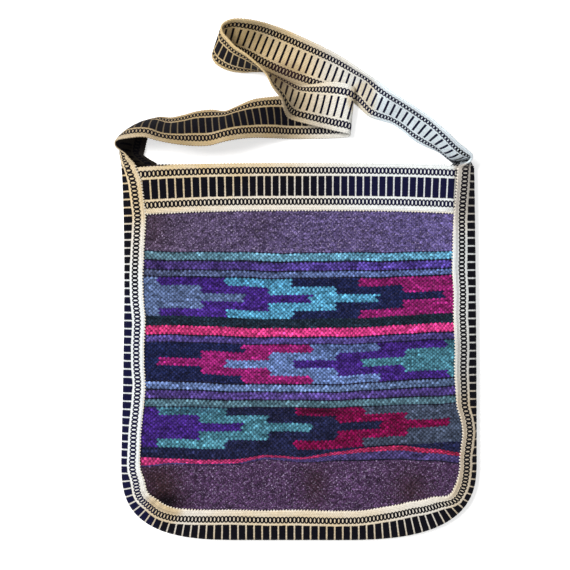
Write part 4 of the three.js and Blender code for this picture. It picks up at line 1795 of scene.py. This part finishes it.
    def stripes(self) -> list[Stripe]:
        """Lay out the stripes, with the motifs' rows between them.

        Returns:
            The stripes from the mouth down.
        """
        first, second, third = (motif.rows() for motif in self.motifs)
        return [
            Stripe(0.0, Dye.MAUVE, Dye.BLUE_MAUVE),
            Stripe(89.0, Dye.INK),
            Stripe(90.0, Dye.LIGHT_TEAL, Dye.SKY_TEAL),
            Stripe(97.5, Dye.INK),
            Stripe(99.3, Dye.PURPLE, Dye.VIOLET),
            Stripe(107.0, Dye.INK),
            Stripe(108.5, Dye.DULL_SLATE, Dye.BLUE_SLATE),
            Stripe(114.0, Dye.INK),
            *first,
            Stripe(155.5, Dye.BOTTLE_GREEN),
            Stripe(165.0, Dye.PINK, Dye.HOT_PINK),
            Stripe(173.3, Dye.INK),
            Stripe(174.8, Dye.INDIGO),
            Stripe(180.5, Dye.INK),
            *second,
            Stripe(220.5, Dye.INK),
            Stripe(222.0, Dye.SLATE_BLUE, Dye.DULL_BLUE),
            Stripe(228.0, Dye.INK),
            Stripe(229.5, Dye.PLUM),
            Stripe(236.0, Dye.INK),
            Stripe(237.5, Dye.TEAL_GREEN),
            Stripe(243.5, Dye.INK),
            *third,
            Stripe(285.5, Dye.MIDNIGHT),
            Stripe(293.3, Dye.RASPBERRY, Dye.DEEP_RED, rows=3),
            Stripe(295.3, Dye.DIM_INDIGO, rows=4),
            Stripe(298.0, Dye.INK),
            Stripe(298.5, Dye.BROWN_MAUVE),
        ]

    def lie(self, x: Array, below: Array) -> Array:
        """Bend the weft rows where the cloth was pulled.

        Args:
            x: Places across the panel, rows by columns.
            below: Where each row was woven below the mouth.

        Returns:
            Where it lies below the mouth.
        """
        knots = np.array([line[0] for line in self.weft_lines])
        table = np.array([line[1] for line in self.weft_lines])
        column = np.interp(x[0], self.weft_knots, np.arange(len(self.weft_knots)))
        left = np.clip(np.floor(column).astype(int), 0, len(self.weft_knots) - 2)
        ease = column - left
        ease = ease * ease * (3 - 2 * ease) * 0.5 + ease * 0.5
        bent = table[:, left] * (1 - ease) + table[:, left + 1] * ease
        rows = below[:, 0]
        lower = np.clip(np.searchsorted(knots, rows, "right") - 1, 0, len(knots) - 2)
        part = ((rows - knots[lower]) / (knots[lower + 1] - knots[lower]))[:, None]
        bent_row = bent[lower] * (1 - part) + bent[lower + 1] * part
        ripple = sum(wave.over(x, below) for wave in self.ripples)
        return bent_row + ripple * np.clip(below / self.ripples_from, 0, 1)

    def heights(self, plan: Array, inset: Array, reach: Array) -> Array:
        """Height of the upper face: low under the gusset, with soft hollows in the cloth.

        Args:
            plan: Points on the floor plan.
            inset: How far in from the bag's edge they lie.
            reach: How far the gusset covers the panel there.

        Returns:
            Heights above the floor.
        """
        x, y = plan.T
        past_arm = inset - reach
        drop = self.seam_drop * smooth(*self.drop_ramp, past_arm)
        soft = sum(spread(spot, x, y) for spot in self.hollows)
        soft = soft + sum(wave.over(x, y) for wave in self.swells)
        calm = smooth(*self.calm_ramp, past_arm) * smooth(*self.calm_below, self.edge.mouth - y)
        return self.face_height - drop + soft * calm


@dataclass
class BackPanel(WoolPanel):
    """The plain back, lying on the floor."""

    seam_height: float = 1.9
    seam_lift: float = 0.3
    clearance: float = 2.0
    ramp: float = 8.0
    arm_run: float = 9.0

    def stripes(self) -> list[Stripe]:
        """Plain heather with a few darker rows where one lot of yarn follows another.

        Returns:
            The stripes from the mouth down.
        """
        return [
            Stripe(0.0, Dye.MAUVE),
            Stripe(150.0, Dye.MAUVE, Dye.BROWN_MAUVE),
            Stripe(158.0, Dye.MAUVE),
            Stripe(300.0, Dye.BROWN_MAUVE, Dye.MAUVE),
        ]

    def reach(self, index: Array) -> Array:
        """How far the gusset's back arm covers the panel."""
        section = self.gusset.section
        return section.arm_reach + section.back_extra - self.gusset.front_shift(index)

    def heights(self, plan: Array, inset: Array, reach: Array) -> Array:
        """Height of the inner face: over the gusset's arm and the mouth band, then on the floor.

        Args:
            plan: Points on the floor plan.
            inset: How far in from the bag's edge they lie.
            reach: How far the gusset covers the panel there.

        Returns:
            Heights above the floor.
        """
        section = self.gusset.section
        past_arm = inset - reach
        past_band = self.edge.mouth - plan[:, 1] - BAND_WIDTH
        end = self.clearance + self.ramp
        settle = smooth(self.clearance, end, past_arm) * smooth(self.clearance, end, past_band)
        arm = section.arm_rise / (reach - section.half_thickness) * np.clip(-past_arm, 0, self.arm_run)
        lift = self.seam_lift * smooth(self.clearance, 0, past_arm)
        return self.seam_height * (1 - settle) + arm + lift + self.thickness


@dataclass
class Stitching:
    """Overcast stitches that hold the band to the wool, placed by Geometry Nodes."""

    pitch: float = 3.04
    thread_length: float = 3.2
    thread_width: float = 1.7
    thread_height: float = 1.1
    smallest: Colour = (0.82, 0.8, 0.85)
    largest: Colour = (1.15, 1.15, 1.1)
    floor_gap: float = 0.85
    slant: float = 0.4
    seed: int = 4

    def sizes(self) -> dict[str, float]:
        """The thread's sizes in metres, by the names of the tree's inputs."""
        sizes = (self.thread_length, self.thread_width, self.thread_height)
        return {f"Thread {name}": size * MM for name, size in zip(("length", "width", "height"), sizes)}

    def seats(self, edges: list[SewnEdge]) -> bpy.types.Object:
        """Mark where every stitch goes.

        Args:
            edges: Points, directions along and directions up of the sewn edges.

        Returns:
            A carrier whose points hold the stitches' places and directions.
        """
        places, alongs, ups = [], [], []
        for edge in edges:
            length = lengths(edge[0])
            at = np.arange(self.pitch / 2, length[-1], self.pitch)
            place, along, rise = (read_line(at, length, line) for line in edge)
            side = np.cross(rise, along)
            alongs.append(unit(side * math.cos(self.slant) + along * math.sin(self.slant)))
            place[:, 2] = np.maximum(place[:, 2], self.floor_gap)
            places.append(place)
            ups.append(unit(rise))
        mesh = bpy.data.meshes.new("stitch seats")
        mesh.from_pydata((np.concatenate(places) * MM).tolist(), [], [])
        for name, vectors in (("lie_along", alongs), ("lie_up", ups)):
            layer = mesh.attributes.new(name, "FLOAT_VECTOR", "POINT")
            layer.data.foreach_set("vector", np.concatenate(vectors).astype(np.float32).ravel())
        return put("stitch seats", mesh)

    def tree(self, material: bpy.types.Material) -> bpy.types.NodeTree:
        """Build the node tree that lays one thread on every seat.

        Args:
            material: The thread's material.

        Returns:
            The tree.
        """
        tree = bpy.data.node_groups.new("overcast stitches", "GeometryNodeTree")
        tree.is_modifier = True
        sockets = [("Geometry", "INPUT", "Geometry")]
        sockets += [(name, "INPUT", "Float") for name in self.sizes()]
        sockets += [("Seed", "INPUT", "Int"), ("Geometry", "OUTPUT", "Geometry")]
        for name, way, kind in sockets:
            tree.interface.new_socket(name=name, in_out=way, socket_type=f"NodeSocket{kind}")

        def add(kind: str, inputs: Sockets = None, **settings: str) -> bpy.types.NodeOutputs:
            """Add a node and give its outputs."""
            return add_node(tree, kind, settings, inputs).outputs

        given = add("NodeGroupInput")
        thread = add("GeometryNodeMeshIcoSphere", {"Radius": 0.5, "Subdivisions": 2})
        size = add("ShaderNodeCombineXYZ", {k: given[name] for k, name in enumerate(self.sizes())})
        shaped = add("GeometryNodeTransform", {"Geometry": thread["Mesh"], "Scale": size[0]})
        ways = [
            add("GeometryNodeInputNamedAttribute", {"Name": name}, data_type="FLOAT_VECTOR")["Attribute"]
            for name in ("lie_up", "lie_along")
        ]
        axes = {"primary_axis": "Z", "secondary_axis": "X"}
        turn = add("FunctionNodeAxesToRotation", dict(enumerate(ways)), **axes)
        limits = {0: self.smallest, 1: self.largest, "Seed": given["Seed"]}
        vary = add("FunctionNodeRandomValue", limits, data_type="FLOAT_VECTOR")
        laid = {
            "Points": given["Geometry"],
            "Instance": shaped["Geometry"],
            "Rotation": turn[0],
            "Scale": vary[0],
        }
        lay = add("GeometryNodeInstanceOnPoints", laid)
        real = add("GeometryNodeRealizeInstances", {0: lay["Instances"]})
        even = add("GeometryNodeSetShadeSmooth", {0: real[0]})
        dress = add("GeometryNodeSetMaterial", {"Geometry": even[0], "Material": material})
        add("NodeGroupOutput", {0: dress[0]})
        return tree

    def make(self, name: str, edges: list[SewnEdge], finish: ThreadFinish) -> bpy.types.Object:
        """Sew the edges.

        Args:
            name: The piece's name.
            edges: The sewn edges.
            finish: The thread's finish.

        Returns:
            The stitches as one plain mesh.
        """
        carrier = self.seats(edges)
        modifier = carrier.modifiers.new("stitches", "NODES")
        modifier.node_group = self.tree(finish.material())
        given = {**self.sizes(), "Seed": self.seed}
        for item in modifier.node_group.interface.items_tree:
            if item.in_out == "INPUT" and item.name in given:
                modifier[item.identifier] = given[item.name]
        depsgraph = bpy.context.evaluated_depsgraph_get()
        mesh = bpy.data.meshes.new_from_object(carrier.evaluated_get(depsgraph), depsgraph=depsgraph)
        mesh.name = name
        carrier.modifiers.clear()
        bpy.data.objects.remove(carrier)
        return put(name, mesh)


@dataclass(frozen=True)
class Lamp:
    """A soft lamp that faces the bag, in metres and watts."""

    name: str
    at: tuple[float, float, float]
    size: float
    watts: float
    tint: Colour
    aim: tuple[float, float, float] = (0.0, 0.06, 0.0)

    def hang(self) -> None:
        """Hang the lamp and turn it to its aim."""
        data = bpy.data.lights.new(self.name, "AREA")
        data.size = self.size
        data.energy = self.watts
        data.color = self.tint
        lamp = put(self.name, data)
        lamp.location = self.at
        x, y, z = (end - start for end, start in zip(self.aim, self.at))
        lamp.rotation_euler = (math.atan2(math.hypot(x, y), -z), 0.0, math.atan2(-x, y))


@dataclass
class Studio:
    """Floor, lamps and the camera straight above the bag."""

    centre: Pair = (-14.0, 67.0)
    distance: float = 1500.0
    field_width: float = 570.0
    plane: float = 10.0
    sensor: float = 36.0
    floor_size: float = 6000.0
    floor_drop: float = 0.4
    world_level: float = 0.25
    lamps: tuple[Lamp, ...] = (
        Lamp("key lamp", (-4.6, 2.4, 6.4), 3.4, 790.0, (1.0, 0.99, 0.975)),
        Lamp("fill lamp", (4.4, -2.4, 6.4), 4.6, 135.0, (0.97, 0.985, 1.0)),
    )

    def make(self) -> None:
        """Set up the studio."""
        scene = bpy.context.scene
        scene.view_settings.view_transform = "Standard"
        self._camera(scene)
        self._floor()
        self._world(scene)
        for lamp in self.lamps:
            lamp.hang()

    def _camera(self, scene: bpy.types.Scene) -> None:
        """Hang the camera over the middle of the view.

        Args:
            scene: The scene that it films.
        """
        data = bpy.data.cameras.new("camera")
        data.sensor_width = self.sensor
        data.sensor_fit = "HORIZONTAL"
        data.lens = self.sensor * self.distance / self.field_width
        scene.camera = put("camera", data)
        x, y = self.centre
        scene.camera.location = (x * MM, y * MM, (self.plane + self.distance) * MM)

    def _floor(self) -> None:
        """Lay the floor just under the bag."""
        half = self.floor_size / 2 * MM
        low = -self.floor_drop * MM
        mesh = bpy.data.meshes.new("floor")
        corners = [(-half, -half, low), (half, -half, low), (half, half, low), (-half, half, low)]
        mesh.from_pydata(corners, [], [(0, 1, 2, 3)])
        mesh.materials.append(FloorFinish().material())
        put("floor", mesh)

    def _world(self, scene: bpy.types.Scene) -> None:
        """Fill the room with even light, and show it white.

        Args:
            scene: The scene that is lit.
        """
        paint = Paint(bpy.data.worlds.new("studio"))
        scene.world = paint.owner
        light, shown = (
            paint.node("ShaderNodeBackground", None, {"Color": WHITE, "Strength": level})
            for level in (self.world_level, 1.0)
        )
        paint.show_pale(light, shown)


@dataclass
class ShoulderBag:
    """The whole bag, with the sizes in metres that its sheets were cut to."""

    edge: BagEdge = field(default_factory=BagEdge)
    band: WovenBand = field(default_factory=WovenBand)
    panel_cut: Pair = (0.332, 0.371)
    mouth_cut: float = 0.312
    gusset_cut: float = 1.0
    strap_cut: float = 0.76

    def make(self) -> None:
        """Build every piece and tie it to the frame."""
        self.band.materials = [BandFinish(side).material() for side in Side]
        gusset = Gusset(self.edge, self.band)
        wool = WoolFinish("front wool")
        plain = WoolFinish("back wool")
        front = FrontPanel(self.edge, gusset, "front_wool_panel", wool)
        back = BackPanel(self.edge, gusset, "back_wool_panel", plain, seed=23)
        front_band = MouthBand(self.edge, self.band, "front_mouth", True, 12.85, 7.0, end_dip=1.5)
        back_band = MouthBand(self.edge, self.band, "back_mouth", False, 0.85, -8.0, arch=0.6)
        gusset_piece, gusset_edges = gusset.make()
        strap_piece = ShoulderStrap(gusset, self.band).make()
        front_piece, front_edges = front_band.make()
        back_piece, back_edges = back_band.make()
        width = BAND_WIDTH * MM
        mouth, panel = (width, self.mouth_cut), self.panel_cut
        self._cloth(front.make(), "front_panel", "front_wool", panel, Held.STRETCHED, ["gusset_band"])
        self._cloth(back.make(), "back_panel", "back_wool", panel, Held.LAID, [])
        both = ["front_panel", "back_panel"]
        for piece, node, flat, held, rests_on in (
            (front_piece, "front_mouth_band", mouth, Held.LAID, ["front_panel"]),
            (back_piece, "back_mouth_band", mouth, Held.LAID, ["back_panel"]),
            (gusset_piece, "gusset_band", (width, self.gusset_cut), Held.FOLDED, both),
            (strap_piece, "shoulder_strap", (width, self.strap_cut), Held.LAID, []),
        ):
            self._cloth(piece, node, node, flat, held, rests_on)
        edges = [*gusset_edges, *front_edges, *back_edges]
        stitches = Stitching().make("overcast_stitches", edges, ThreadFinish())
        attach(stitches, "root")
        LOG.info("%s: %d faces", stitches.name, len(stitches.data.polygons))

    def _cloth(
        self, piece: bpy.types.Object, node: str, slot: str, flat: Pair, held: Held, rests_on: list[str]
    ) -> None:
        """Tie a cloth piece to the frame.

        Args:
            piece: The piece.
            node: The solid that it stands for.
            slot: Its material slot; not used.
            flat: The size that it was cut to, in metres; not used.
            held: How it is held; not used.
            rests_on: What it lies on.
        """
        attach(piece, "root")
        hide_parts(node)
        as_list(rests_on)
        LOG.info("%s: %d faces", piece.name, len(piece.data.polygons))


def main() -> None:
    """Build the studio and the bag."""
    logging.basicConfig(level=logging.INFO, format="%(name)s: %(message)s")
    Studio().make()
    ShoulderBag().make()
    bpy.context.view_layer.update()


if __name__ == "__main__":
    main()
